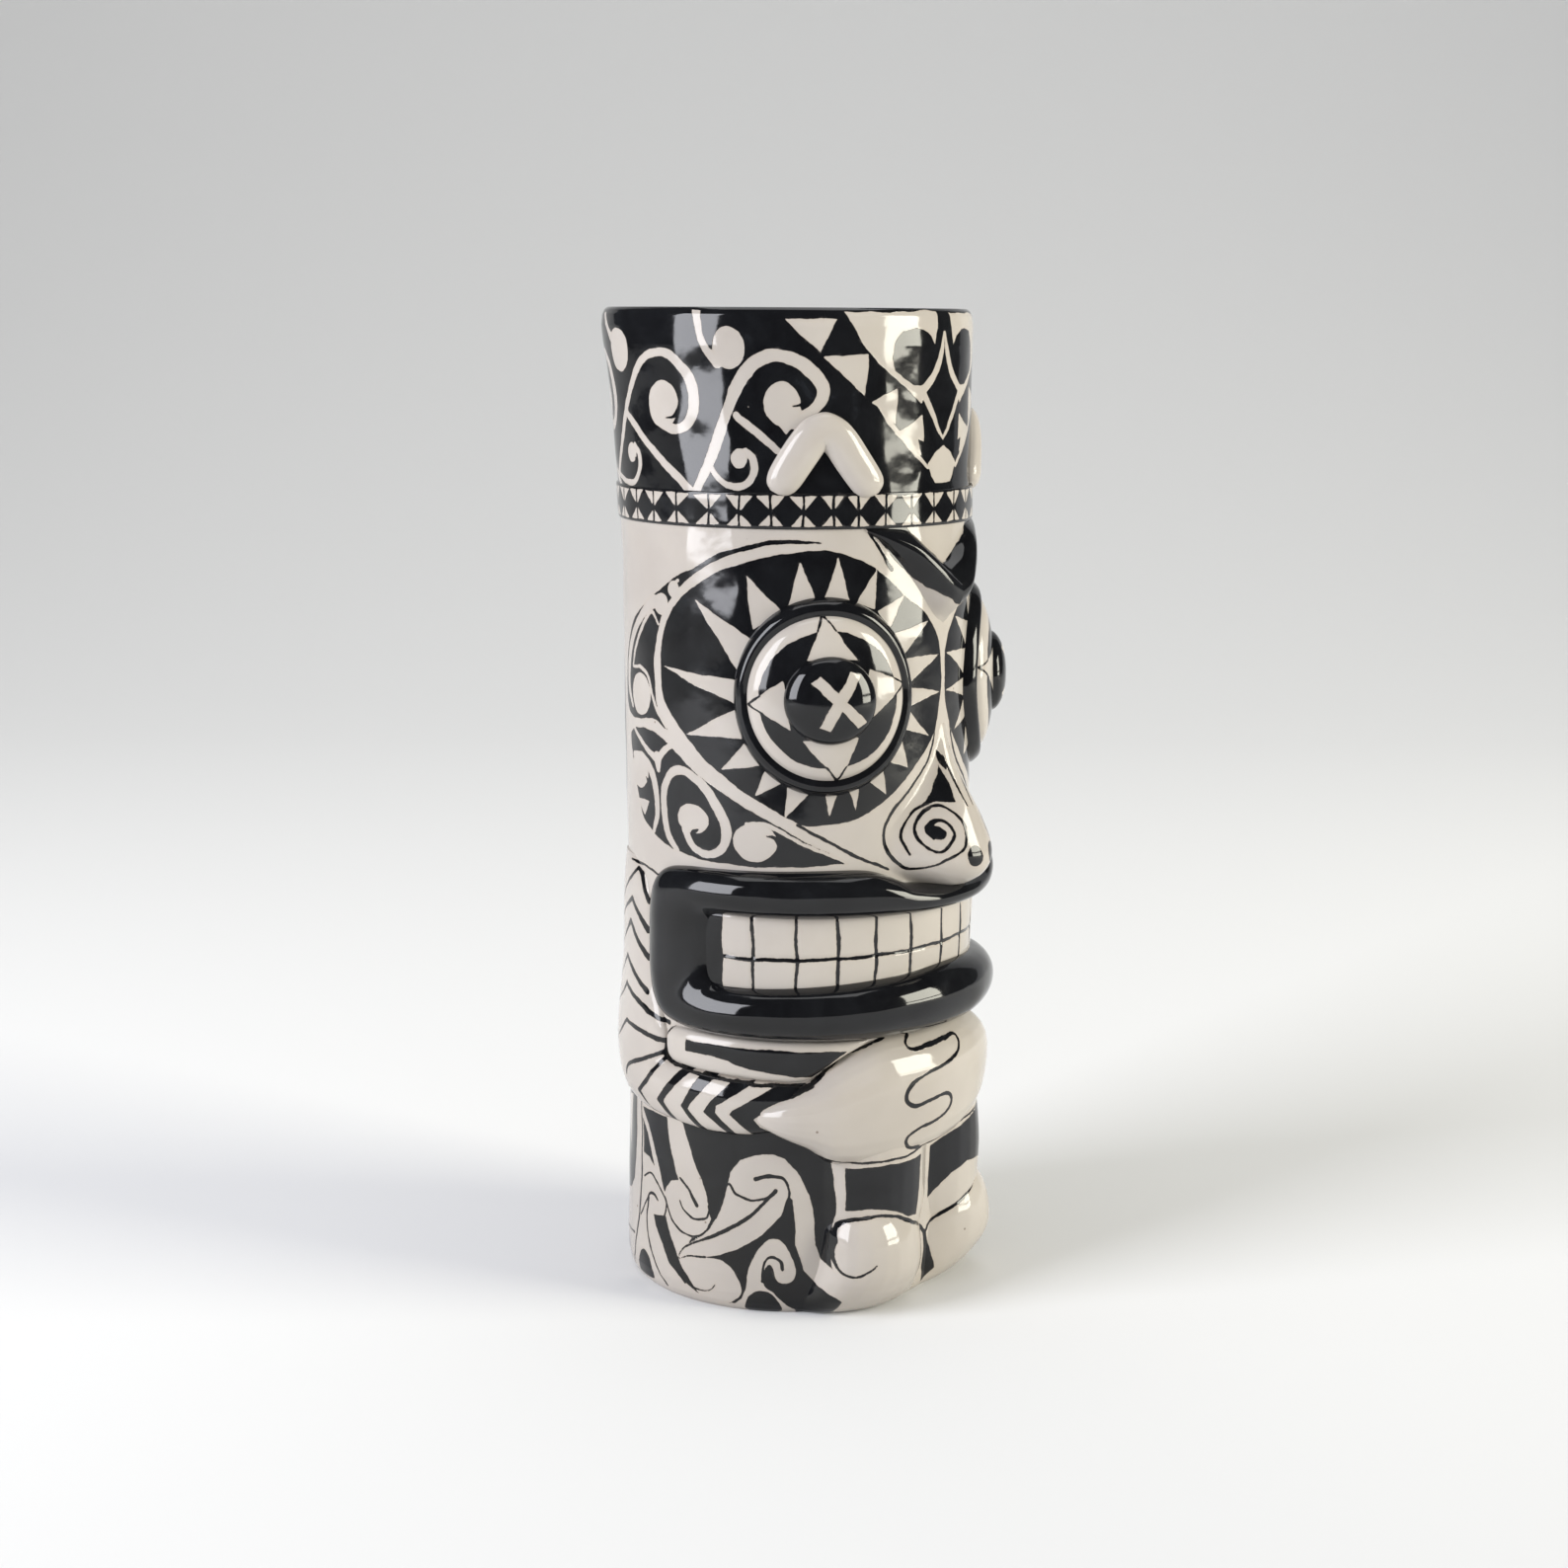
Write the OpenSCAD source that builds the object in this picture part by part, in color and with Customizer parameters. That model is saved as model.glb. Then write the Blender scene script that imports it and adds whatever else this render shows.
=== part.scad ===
// Tall stoneware tiki mug: a hollow cup wall and floor with luted relief pieces.
// Frame: +Z up, origin at the centre of the base, the face looks along -Y, +X is the figure's left side.
// Angles run round the cup from the face's midline (0) towards the figure's right side, in degrees.

/* [Cup] */
// Height of the mug from base to rim
cup_h = 200; // [199:0.5:201]
// Thickness of the floor
floor_t = 6; // [5:0.5:8]
// Radius of the straight inside of the cup
inner_r = 30.2; // [29:0.1:30.6]
// Radius of the mouth just below the rim
mouth_r = 33.9; // [33:0.1:34.2]

/* [Eyes] */
// Angle of each eye from the midline
eye_a = 43.2; // [42:0.1:44]
// Height of the eye centres above the base
eye_z = 126.1; // [125:0.1:128]
// Outer radius of the raised eye ring
eye_ring_r = 19.4; // [18:0.1:20]
// Inner radius of the raised eye ring, where the eyeball starts
eyeball_r = 15.8; // [14.5:0.1:16]
// Radius of the pupil boss
pupil_r = 8.5; // [8:0.1:9.5]

/* [Relief heights] */
// Height of the eye ring above the wall
eye_ring_h = 2.2; // [1:0.1:4]
// Height of the eyeball where the pupil boss starts
eyeball_h = 5.9; // [4:0.1:7]
// Height of the pupil boss at its crown
pupil_h = 9.0; // [7:0.1:10]
// Height of the nose at its tip
nose_h = 10.2; // [8:0.1:11]
// Height of the lips at the midline
lip_h = 5.5; // [4:0.1:6.5]
// Height of the tooth rows
teeth_h = 1.0; // [0.6:0.1:1.6]
// Height of the clasped hands
hand_h = 6.8; // [5:0.1:7.5]
// Height of the feet at the toes
foot_h = 8.3; // [7:0.1:10]
// Height of the headband
band_h = 0.5; // [0.4:0.1:0.8]

/* [Hidden] */
$fn = 96;
cream = [0.86, 0.82, 0.74];
black = [0.05, 0.05, 0.055];
biscuit = [0.78, 0.72, 0.62];

// Mean radius of the wall and its forward offset, by height
r_tab = [[0,31.9],[0.8,32.8],[2,33.4],[4,33.85],[8,34.15],[27,34.3],[40,34.4],[56,34.9],[75,35.2],[90,35.3],[135,35.35],
  [150,35.4],[160,35.55],[170,35.9],[178,36.2],[184,36.5],[189,36.85],[193,37.2],[196.5,37.4],[198.6,37.2],[199.6,36.7],[200,36.1]];
e_tab = [[0,1.3],[27,1.4],[40,1.5],[56,1.8],[75,2.3],[90,2.5],[110,2.5],[135,2.4],[150,2.2],[160,1.9],
  [170,1.5],[178,1.2],[184,0.9],[189,0.6],[193,0.3],[197,0.05],[200,0]];
zk = cup_h / 200;
function R(a, z) = lookup(z, r_tab) + lookup(z, e_tab) * cos(a);
// A point at angle a and height z, standing h proud of the wall
function P(a, z, h = 0) = let (r = R(a, z) + h) [-r * sin(a), -r * cos(a), z * zk];
mm = 180 / PI / 36;      // degrees round the cup for 1 mm of arc
eye_mm = 180 / PI / 39.6; // the same out on the raised eyes

// Profile across a relief strip, t from 0 to 1: n = 2 is an ellipse, more is squarer, 0 is a smooth ridge, and a list is looked up
function bump(t, n, e) = t <= 0 || t >= 1 ? 0 : is_list(n) ? lookup(t, n) : n == 0 ? (1 - cos(360 * t)) / 2
  : pow(max(0, 1 - pow(abs(2 * t - 1), n)), is_undef(e) ? 1 / n : e);

// A relief strip that follows the wall. Each section is [a0, z0, a1, z1, height]: its two edges and its crown,
// and a sixth number, where given, is the roundness of its shoulders.
// base is how far the underside stands proud of the wall.
module strip(secs, k = 10, n = 2.2, closed = false, base = 0) {
  m = len(secs);
  q = 2 * k;
  pts = [for (s = secs, j = [0:q - 1])
    let (t = j <= k ? j / k : (q - j) / k,
         a = s[0] + (s[2] - s[0]) * t, z = s[1] + (s[3] - s[1]) * t,
         h = j <= k ? base + s[4] * bump(t, n, s[5]) : base)
    P(a, z, h)];
  sides = [for (i = [0:(closed ? m - 1 : m - 2)], j = [0:q - 1])
    let (i2 = (i + 1) % m, j2 = (j + 1) % q, a = i * q + j, b = i * q + j2, c = i2 * q + j2, d = i2 * q + j)
    each [[a, d, b], [b, d, c]]];
  caps1 = closed ? [] : concat([[0, 1, q - 1]], [for (j = [1:k - 2]) each [[j, j + 1, q - j - 1], [j, q - j - 1, q - j]]], [[k - 1, k, k + 1]]);
  caps2 = [for (f = caps1) let (o = (m - 1) * q) [f[0] + o, f[2] + o, f[1] + o]];
  polyhedron(points = pts, faces = concat(sides, caps1, caps2), convexity = 8);
}

// A round relief cap on the wall: centre angle and height, radius, and [radius share, top height, underside height] rows.
module cap(ca, cz, r, rows, m = 40) {
  n = len(rows);
  function C(rho, i, h) = P(ca + rho * r * cos(360 * i / m) * eye_mm, cz + rho * r * sin(360 * i / m), h);
  pts = concat([C(0, 0, rows[0][1])], [for (k = [1:n - 1], i = [0:m - 1]) C(rows[k][0], i, rows[k][1])],
    [C(0, 0, rows[0][2])], [for (k = [1:n - 2], i = [0:m - 1]) C(rows[k][0], i, rows[k][2])]);
  b0 = 1 + (n - 1) * m;
  function T(k, i) = 1 + (k - 1) * m + i % m;
  function B(k, i) = k == n - 1 ? T(k, i) : b0 + 1 + (k - 1) * m + i % m;
  faces = concat([for (i = [0:m - 1]) [0, T(1, i + 1), T(1, i)]],
    [for (k = [1:n - 2], i = [0:m - 1]) each [[T(k, i), T(k, i + 1), T(k + 1, i)], [T(k + 1, i), T(k, i + 1), T(k + 1, i + 1)]]],
    [for (i = [0:m - 1]) [b0, B(1, i), B(1, i + 1)]],
    [for (k = [1:n - 2], i = [0:m - 1]) each [[B(k, i), B(k + 1, i), B(k, i + 1)], [B(k + 1, i), B(k + 1, i + 1), B(k, i + 1)]]]);
  polyhedron(points = pts, faces = faces, convexity = 6);
}

// Sections of a strip of half-width w (mm) about a centre line of [a, z, w, height] points
function along(c) = [for (i = [0:len(c) - 1])
  let (p = c[max(i - 1, 0)], q = c[min(i + 1, len(c) - 1)],
       dx = (q[0] - p[0]) / mm, dz = q[1] - p[1], l = norm([dx, dz]),
       nx = -dz / l * c[i][2] * mm, nz = dx / l * c[i][2])
  [c[i][0] + nx, c[i][1] + nz, c[i][0] - nx, c[i][1] - nz, c[i][3]]];
// Sections between each two given ones, on a smooth curve, so no step is wider than d degrees
function curve(a, b, c, e, t) = 0.5 * (2 * b + (c - a) * t + (2 * a - 5 * b + 4 * c - e) * t * t + (3 * b - a - 3 * c + e) * t * t * t);
function fine(s, d = 6) = concat([for (i = [0:len(s) - 2])
  let (w = max(abs(s[i + 1][0] - s[i][0]), abs(s[i + 1][2] - s[i][2])), n = max(1, ceil(w / d)),
       a = s[max(i - 1, 0)], b = s[i], c = s[i + 1], e = s[min(i + 2, len(s) - 1)])
  for (j = [0:n - 1]) curve(a, b, c, e, j / n)], [s[len(s) - 1]]);
function flip(s) = [for (i = [len(s) - 1:-1:0]) let (v = s[i]) is_undef(v[5]) ? [-v[0], v[1], -v[2], v[3], v[4]] : [-v[0], v[1], -v[2], v[3], v[4], v[5]]];

// Cup body ---------------------------------------------------------------
wall_z = [0,0.8,2,4,8,18,27,40,56,75,90,110,135,150,160,170,178,184,189,193,196.5,198.6,199.6,200];
module outer_form(m = 72) {
  n = len(wall_z);
  pts = concat([for (z = wall_z, i = [0:m - 1]) P(360 * i / m, z)], [[0, 0, 0], [0, 0, cup_h]]);
  faces = concat([for (k = [0:n - 2], i = [0:m - 1]) let (a = k * m + i, b = k * m + (i + 1) % m)
      each [[a, a + m, b], [b, a + m, b + m]]],
    [for (i = [0:m - 1]) [n * m, i, (i + 1) % m]],
    [for (i = [0:m - 1]) let (o = (n - 1) * m) [n * m + 1, o + (i + 1) % m, o + i]]);
  polyhedron(points = pts, faces = faces, convexity = 4);
}

module cup_wall() color(cream)
  difference() {
    outer_form();
    rotate_extrude() polygon([[0, -1], [inner_r - 1.6, -1], [inner_r - 1.6, floor_t],
      [inner_r - 1.2, floor_t + 0.8], [inner_r - 0.5, floor_t + 2.4], [inner_r - 0.2, floor_t + 5],
      [inner_r, 30], [inner_r + 0.2, 110], [inner_r + 0.5, 160], [inner_r + 1.1, 175], [inner_r + 2.1, 186],
      [mouth_r - 0.4, 194], [mouth_r, 197], [mouth_r + 0.45, cup_h - 1.2], [mouth_r + 1.2, cup_h - 0.3], [mouth_r + 1.9, cup_h + 0.02],
      [mouth_r + 1.9, cup_h + 2], [0, cup_h + 2]]);
  }

module cup_floor() color(biscuit)
  cylinder(r = inner_r - 1.6, h = floor_t);

// Headdress ----------------------------------------------------------------
module headband() color(black)
  strip([for (i = [0:71]) let (a = -i * 5) [a, 165.3, a, 158.4, band_h]], k = 4, n = 6, closed = true);

chevron = [[58,165.3,1.2,0.6],[57.3,166.1,2.5,1.4],[55.4,168,3.3,2.1],[51.7,171.7,3.5,2.3],[48.1,175,3.5,2.4],[45.8,176.4,3.6,2.4],[43.4,176.8,3.8,2.4],
  [41.1,176.3,3.6,2.4],[38.6,174.8,3.5,2.4],[34.6,171.1,3.5,2.3],[30.2,167.2,3.3,2.1],[28.3,165.7,2.5,1.4],[27.6,165,1.2,0.6]];
module crest_chevron() color(cream) strip(along(chevron), k = 10, n = 2.2);
module crest_chevron_right() crest_chevron();
module crest_chevron_left() mirror([1, 0, 0]) crest_chevron();

// Brows: a swelling leaf on each side that ends at the midline
brow_shape = [[0,0],[0.05,0.17],[0.12,0.44],[0.22,0.74],[0.33,0.94],[0.43,1],[0.53,0.97],[0.63,0.85],[0.73,0.63],[0.82,0.38],[0.9,0.17],[0.96,0.05],[1,0]];
brow_secs = [[31,158.3,30.6,157.8,0.3],[26.5,158.3,25,155,1.5],[21,158.3,18.8,151,2.8],[15.8,157.8,13.2,147,4],
  [10.6,155.6,8.6,143.2,4.9],[5.4,153,4.4,140.2,5.4],[0.15,151.2,0.15,138.6,5.1]];
module brow() color(black) strip(brow_secs, k = 14, n = brow_shape);
module brow_right() brow();
module brow_left() mirror([1, 0, 0]) brow();

// Eyes ------------------------------------------------------------------------
function ball(rho) = 1.9 + (eyeball_h - 1.9) * sqrt(max(0, 1 - rho * rho * 0.985));
function boss(rho) = let (e = ball(pupil_r / eyeball_r)) e + (pupil_h - e) * sqrt(max(0, 1 - rho * rho));
module eye_ring() color(black)
  strip([for (i = [0:47]) let (t = i * 7.5, c = cos(t), s = sin(t))
    [eye_a + eyeball_r * c * eye_mm, eye_z + eyeball_r * s, eye_a + eye_ring_r * c * eye_mm, eye_z + eye_ring_r * s, eye_ring_h]],
    k = 8, n = 2.2, closed = true);
module eyeball() color(cream)
  cap(eye_a, eye_z, eyeball_r - 0.02, [for (q = [0, 0.15, 0.3, 0.45, 0.58, 0.7, 0.8, 0.88, 0.94, 0.98]) [q, ball(q), 0], [1, 0.4, 0]], m = 44);
module pupil() color(black)
  cap(eye_a, eye_z, pupil_r, [for (q = [0, 0.25, 0.45, 0.62, 0.76, 0.87, 0.95, 1]) [q, boss(q), ball(q * pupil_r / eyeball_r)]], m = 36);
module eye_ring_right() eye_ring();
module eye_ring_left() mirror([1, 0, 0]) eye_ring();
module eyeball_right() eyeball();
module eyeball_left() mirror([1, 0, 0]) eyeball();
module pupil_right() pupil();
module pupil_left() mirror([1, 0, 0]) pupil();

// Nose ------------------------------------------------------------------------
nose_rows = [[1.6,119,0.02],[3.4,115.8,0.07],[6.4,112.2,0.19],[10.4,108.6,0.35],[15.2,105,0.55],[20,101.6,0.73],[24,98.2,0.87],[26,95.4,0.97],
  [25.6,93,1],[23,91.4,0.95],[18.5,90.1,0.84],[14,89.2,0.66]];
module nose() color(cream)
  strip([for (q = nose_rows) [q[0], q[1], -q[0], q[1], nose_h * q[2]]], k = 20, n = 0);

// Mouth -----------------------------------------------------------------------
lip_top = [[0,87.9,0,82.2,1,0.48],[10,88,9.5,82.2,1,0.48],[18,88.8,16.5,82.2,0.98,0.48],[24,90.4,22,82.2,0.96,0.48],[31,91.7,29,82.25,0.94,0.48],[42,92,38,82.3,0.89,0.48],
  [60,91.8,54,82.4,0.85,0.48],[78,91.6,68,82.5,0.82,0.48],[90,91.3,75,82.6,0.78,0.5],[98.5,90.2,78.5,82.1,0.75,0.53],[104,87.2,79.6,80.6,0.71,0.57],[106.6,82,79.9,78.2,0.69,0.6],[107.2,75.2,79.9,75.2,0.68,0.6]];
lip_bottom = [[107.2,75.2,79.9,75.2,0.68,0.6],[107,69,79.8,72.4,0.69,0.6],[105.2,64.2,79.3,70.2,0.71,0.57],[101,60.8,77.5,68.7,0.75,0.54],[93,59,73,68.2,0.8,0.5],[81,58.1,66,68.3,0.85,0.48],
  [65,57.8,54,68.7,0.89,0.48],[45,57.6,38,69.3,0.93,0.48],[25,57.5,21,70,0.97,0.48],[0,57.4,0,70.8,1,0.48]];
function scaled(s, h) = [for (v = s) is_undef(v[5]) ? [v[0], v[1], v[2], v[3], v[4] * h] : [v[0], v[1], v[2], v[3], v[4] * h, v[5]]];
function drop_last(s) = [for (i = [0:len(s) - 2]) s[i]];
module upper_lip() color(black)
  strip(let (s = fine(scaled(lip_top, lip_h))) concat(drop_last(flip(s)), s), k = 8, n = 2.1);
module lower_lip() color(black)
  strip(let (s = fine(scaled(lip_bottom, lip_h))) concat(drop_last(s), flip(s)), k = 8, n = 2.1);

module tooth_row(z0, z1) color(cream)
  strip([for (i = [0:32]) let (a = -80 + i * 5) [a, z0, a, z1, teeth_h]], k = 4, n = 8);
module upper_teeth() tooth_row(75.2, 82.2);
module lower_teeth() tooth_row(68.6, 75.2);

// Arms ------------------------------------------------------------------------
upper_arm_secs = [[138,90.4,121.3,90.4,0.3],[139,88,113.3,88,0.7],[140,84,108.9,84,1.1],[141,76,107.9,76,1.3],[142,69.4,107.7,69.4,1.5],[144,63,106,63.8,1.8],
  [147,57,101.9,60,2.3],[147.5,51.5,99.4,56.6,2.7],[143,46.5,98.8,53,2.9],[134.5,43,98.2,51,3],[124,40.6,97,50,3]];
module upper_arm() color(cream) strip(upper_arm_secs, k = 12, n = 2.3);
module upper_arm_right() upper_arm();
module upper_arm_left() mirror([1, 0, 0]) upper_arm();

forearm_secs = [[124,40.6,97,50,3],[112,39.2,94,49.9,3],[100,38.5,90.5,49.8,3.05],[91,38.2,86,49.7,3.1],[83,37.8,80,49.6,3.2],[75,37.5,74,49.3,3.3],[70,37.6,70,49.1,3.3],[66,38.2,66,49,3.1],[64.6,43,64.6,49,2.4]];
module forearm() color(cream) strip(fine(forearm_secs), k = 8, n = 2.3);
module forearm_right() forearm();
module forearm_left() mirror([1, 0, 0]) forearm();

chest_secs = [[98,56.4,98,53,0.8],[96.2,57.6,96.2,51.2,1.5],[91,57.8,91,50.6,1.9],[82,57.8,82,50.2,2.1],[70,57.5,70,49.8,2.1],[58,57.4,58,49.5,2.1],[50,57.3,50,50,2.1],
  [44,57.3,44,52.3,2],[38,57.3,38,54.6,1.8],[33,57.3,33,56,1.5],[29.5,57.3,29.5,57.1,0.8]];
module chest_panel() color(cream) strip(fine(chest_secs), k = 7, n = 3.2);
module chest_panel_right() chest_panel();
module chest_panel_left() mirror([1, 0, 0]) chest_panel();

hand_shape = [[0,0],[0.03,0.22],[0.08,0.47],[0.15,0.7],[0.25,0.89],[0.37,0.98],[0.5,1],[0.63,0.98],[0.75,0.89],[0.85,0.7],[0.92,0.47],[0.97,0.22],[1,0]];
hand_secs = [[64.6,42.6,64.6,41.4,2.2],[62.8,44.3,62.8,40,3.3],[59,45.6,59,38.6,4.4],[54,47.4,54,37,5.3],[48,49.4,48,35.5,6],[41,52.6,41,34.2,6.4],[34,55.2,34,33.6,6.6],
  [27,57,27,33.5,6.8],[18,57.2,18,33.9,6.8],[9,57.2,9,34.6,6.7],[0.05,57.2,0.05,35.2,6.6]];
module hand() color(cream) strip(fine(scaled(hand_secs, hand_h / 6.8)), k = 14, n = hand_shape);
module hand_right() hand();
module hand_left() mirror([1, 0, 0]) hand();

// Legs and feet ------------------------------------------------------------------
// Across a leg or a foot, from its outer side to the midline: the outer side is the steep one
leg_shape = [[0,0],[0.04,0.1],[0.08,0.27],[0.157,0.56],[0.25,0.8],[0.35,0.94],[0.45,1],[0.55,0.985],[0.65,0.9],[0.76,0.7],[0.86,0.4],[0.94,0.15],[1,0]];
foot_shape = [[0,0],[0.03,0.2],[0.08,0.48],[0.14,0.72],[0.2,0.86],[0.3,0.97],[0.4,1],[0.5,0.965],[0.6,0.87],[0.7,0.72],[0.8,0.5],[0.88,0.3],[0.95,0.12],[1,0]];
leg_secs = [[43,33.2,0.1,33.2,5.1],[43.2,30,0.1,30,5.4],[43.2,26,0.1,26,5.5],[43.2,22.6,0.1,22.6,5.4]];
module leg() color(black) strip(leg_secs, k = 12, n = leg_shape);
module leg_right() leg();
module leg_left() mirror([1, 0, 0]) leg();

foot_secs = [[34,22.4,16,22.4,0.46],[39,20.8,9,20.8,0.67],[41.2,18.2,5,18.2,0.87],[42.2,14.4,2.6,14.4,0.99],[43.2,10,1.4,10,1],[45,6.5,1,6.5,0.84],
  [46.6,4,1.2,4,0.65],[47.6,2,1.8,2,0.46],[48,0.8,2.8,0.8,0.33],[48,0,4,0,0.2]];
module foot() color(cream) strip(scaled(foot_secs, foot_h), k = 14, n = foot_shape);
module foot_right() foot();
module foot_left() mirror([1, 0, 0]) foot();

cup_wall();
cup_floor();
headband();
crest_chevron_right();
crest_chevron_left();
brow_right();
brow_left();
eye_ring_right();
eye_ring_left();
eyeball_right();
eyeball_left();
pupil_right();
pupil_left();
nose();
upper_lip();
lower_lip();
upper_teeth();
lower_teeth();
upper_arm_right();
upper_arm_left();
forearm_right();
forearm_left();
chest_panel_right();
chest_panel_left();
hand_right();
hand_left();
leg_right();
leg_left();
foot_right();
foot_left();
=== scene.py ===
"""Glazed, hand-painted tiki mug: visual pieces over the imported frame."""
import math

import bpy
import numpy as np
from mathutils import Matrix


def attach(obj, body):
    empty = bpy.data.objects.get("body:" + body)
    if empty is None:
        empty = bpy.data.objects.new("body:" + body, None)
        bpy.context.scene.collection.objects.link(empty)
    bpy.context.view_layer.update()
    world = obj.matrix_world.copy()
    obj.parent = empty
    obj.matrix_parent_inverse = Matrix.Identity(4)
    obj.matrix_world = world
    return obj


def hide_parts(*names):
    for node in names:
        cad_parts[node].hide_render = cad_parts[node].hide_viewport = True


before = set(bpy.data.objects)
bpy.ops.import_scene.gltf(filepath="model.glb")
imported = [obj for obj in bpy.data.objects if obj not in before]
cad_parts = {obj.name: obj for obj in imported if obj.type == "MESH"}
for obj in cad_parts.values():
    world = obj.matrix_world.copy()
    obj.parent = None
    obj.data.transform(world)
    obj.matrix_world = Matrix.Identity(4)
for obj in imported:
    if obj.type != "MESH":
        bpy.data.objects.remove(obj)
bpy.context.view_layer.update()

# ---------------------------------------------------------------- model
# Everything is drawn in (a, z): a is the angle round the cup in degrees from the face's midline towards the
# figure's right side, z the height in mm. Lengths are in mm here and become metres when a mesh is made.
DEG = math.pi / 180
MM = 180 / math.pi / 36          # degrees round the cup for 1 mm of arc
R_TAB = np.array([[0, 31.9], [0.8, 32.8], [2, 33.4], [4, 33.85], [8, 34.15], [27, 34.3], [40, 34.4], [56, 34.9], [75, 35.2], [90, 35.3], [135, 35.35],
                  [150, 35.4], [160, 35.55], [170, 35.9], [178, 36.2], [184, 36.5], [189, 36.85], [193, 37.2], [196.5, 37.4], [198.6, 37.2], [199.6, 36.7], [200, 36.1]])
E_TAB = np.array([[0, 1.3], [27, 1.4], [40, 1.5], [56, 1.8], [75, 2.3], [90, 2.5], [110, 2.5], [135, 2.4], [150, 2.2], [160, 1.9],
                  [170, 1.5], [178, 1.2], [184, 0.9], [189, 0.6], [193, 0.3], [197, 0.05], [200, 0]])


def smooth_tab(tab, lo, hi, step=0.25, width=3.0):
    """A table resampled finely and rounded where its slope changes, but left alone near its ends."""
    x = np.arange(lo, hi + step / 2, step)
    y = np.interp(x, tab[:, 0], tab[:, 1])
    n = int(width / step)
    k = np.hanning(2 * n + 3)[1:-1]
    k /= k.sum()
    pad = np.concatenate([2 * y[0] - y[n:0:-1], y, 2 * y[-1] - y[-2:-n - 2:-1]])
    s = np.convolve(pad, k, "valid")
    return x, y, s


_rx, _ry, _rs = smooth_tab(R_TAB, 0, 200)
_w = np.clip((_rx - 9) / 6, 0, 1) * np.clip((192 - _rx) / 5, 0, 1)
_RS = _ry * (1 - _w) + _rs * _w
_ex, _ey, _es = smooth_tab(E_TAB, 0, 200)


def wob(a, z):
    """Slow unevenness of a hand-finished wall, a few hundredths of a millimetre."""
    t = a * DEG
    return (0.05 * np.sin(3 * t + 0.061 * z + 1.1) + 0.04 * np.sin(7 * t - 0.083 * z + 0.4) + 0.03 * np.sin(11 * t + 0.21 * z + 2.0)
            + 0.022 * np.sin(17 * t - 0.33 * z) + 0.02 * np.sin(5 * t + 0.47 * z + 4.0)) * np.clip((199 - z) / 6, 0, 1) * np.clip(z / 6, 0, 1)


_bz = np.array([0, 12, 27, 45, 60, 75, 92, 110, 126, 145, 158, 175, 200], float)
_bd = np.array([0.25, 0.6, 0.95, 1.15, 1.2, 1.15, 1.05, 0.75, 0.46, 0.42, 0.34, 0.16, 0.0])
_bx = np.linspace(0, 200, 401)
_bk = np.hanning(41) / np.hanning(41).sum()
_bs = np.convolve(np.pad(np.interp(_bx, _bz, _bd), 20, mode="edge"), _bk, "valid")


def R(a, z):
    """Outer radius of the wall."""
    return np.interp(z, _rx, _RS) + np.interp(z, _ex, _es) * np.cos(a * DEG) + wob(a, z)


def lean(z):
    """How far the casting's middle stands off its axis at this height: about a millimetre at the mouth."""
    return np.interp(z, _bx, _bs)


def cubic(p0, p1, p2, p3, t):
    return 0.5 * (2 * p1 + (p2 - p0) * t + (2 * p0 - 5 * p1 + 4 * p2 - p3) * t * t + (3 * p1 - p0 - 3 * p2 + p3) * t ** 3)


def curve(pts, per=16, closed=False):
    """A smooth curve through the points (any number of columns), per steps between two of them."""
    p = np.asarray(pts, float)
    n = len(p)
    out = []
    for i in range(n if closed else n - 1):
        if closed:
            q = [p[(i - 1) % n], p[i], p[(i + 1) % n], p[(i + 2) % n]]
        else:
            q = [p[i - 1] if i else 2 * p[0] - p[1], p[i], p[i + 1], p[i + 2] if i + 2 < n else 2 * p[-1] - p[-2]]
        for j in range(per):
            out.append(cubic(*q, j / per))
    if not closed:
        out.append(p[-1])
    return np.array(out)


def even(p, step, closed=False):
    """The polyline again with its points about step mm apart, measured on the first four columns' middle."""
    mid = np.stack([(p[:, 0] + p[:, 2]) / 2 / MM, (p[:, 1] + p[:, 3]) / 2], 1)
    e0 = np.stack([p[:, 0] / MM, p[:, 1]], 1)
    e1 = np.stack([p[:, 2] / MM, p[:, 3]], 1)
    d = np.maximum(np.linalg.norm(np.diff(mid, axis=0), axis=1), 0.55 * np.maximum(np.linalg.norm(np.diff(e0, axis=0), axis=1), np.linalg.norm(np.diff(e1, axis=0), axis=1)))
    s = np.concatenate([[0], np.cumsum(d)])
    n = max(2, int(round(s[-1] / step)))
    u = np.linspace(0, s[-1], n + 1)
    q = np.stack([np.interp(u, s, p[:, c]) for c in range(p.shape[1])], 1)
    return q[:-1] if closed else q


LEG_SHAPE = np.array([[0, 0], [0.04, 0.1], [0.08, 0.27], [0.157, 0.56], [0.25, 0.8], [0.35, 0.94], [0.45, 1], [0.55, 0.985], [0.65, 0.9], [0.76, 0.7], [0.86, 0.4], [0.94, 0.15], [1, 0]])
FOOT_SHAPE = np.array([[0, 0], [0.03, 0.2], [0.08, 0.48], [0.14, 0.72], [0.2, 0.86], [0.3, 0.97], [0.4, 1], [0.5, 0.965], [0.6, 0.87], [0.7, 0.72], [0.8, 0.5], [0.88, 0.3], [0.95, 0.12], [1, 0]])


def bump(t, n, e=None):
    """Profile across a strip: t from 0 to 1, n the superellipse exponent, or a table of its own."""
    if isinstance(n, np.ndarray):
        x = np.linspace(0, 1, 401)
        y = np.interp(x, n[:, 0], n[:, 1])
        k = np.hanning(23)
        k /= k.sum()
        y2 = np.convolve(np.concatenate([-y[11:0:-1], y, -y[-2:-13:-1]]), k, "valid")
        return np.interp(t, x, y2)
    if n == "cos":
        return 0.5 - 0.5 * np.cos(2 * np.pi * t)
    return np.maximum(0, 1 - np.abs(2 * t - 1) ** n) ** (1 / n if e is None else e)


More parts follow.
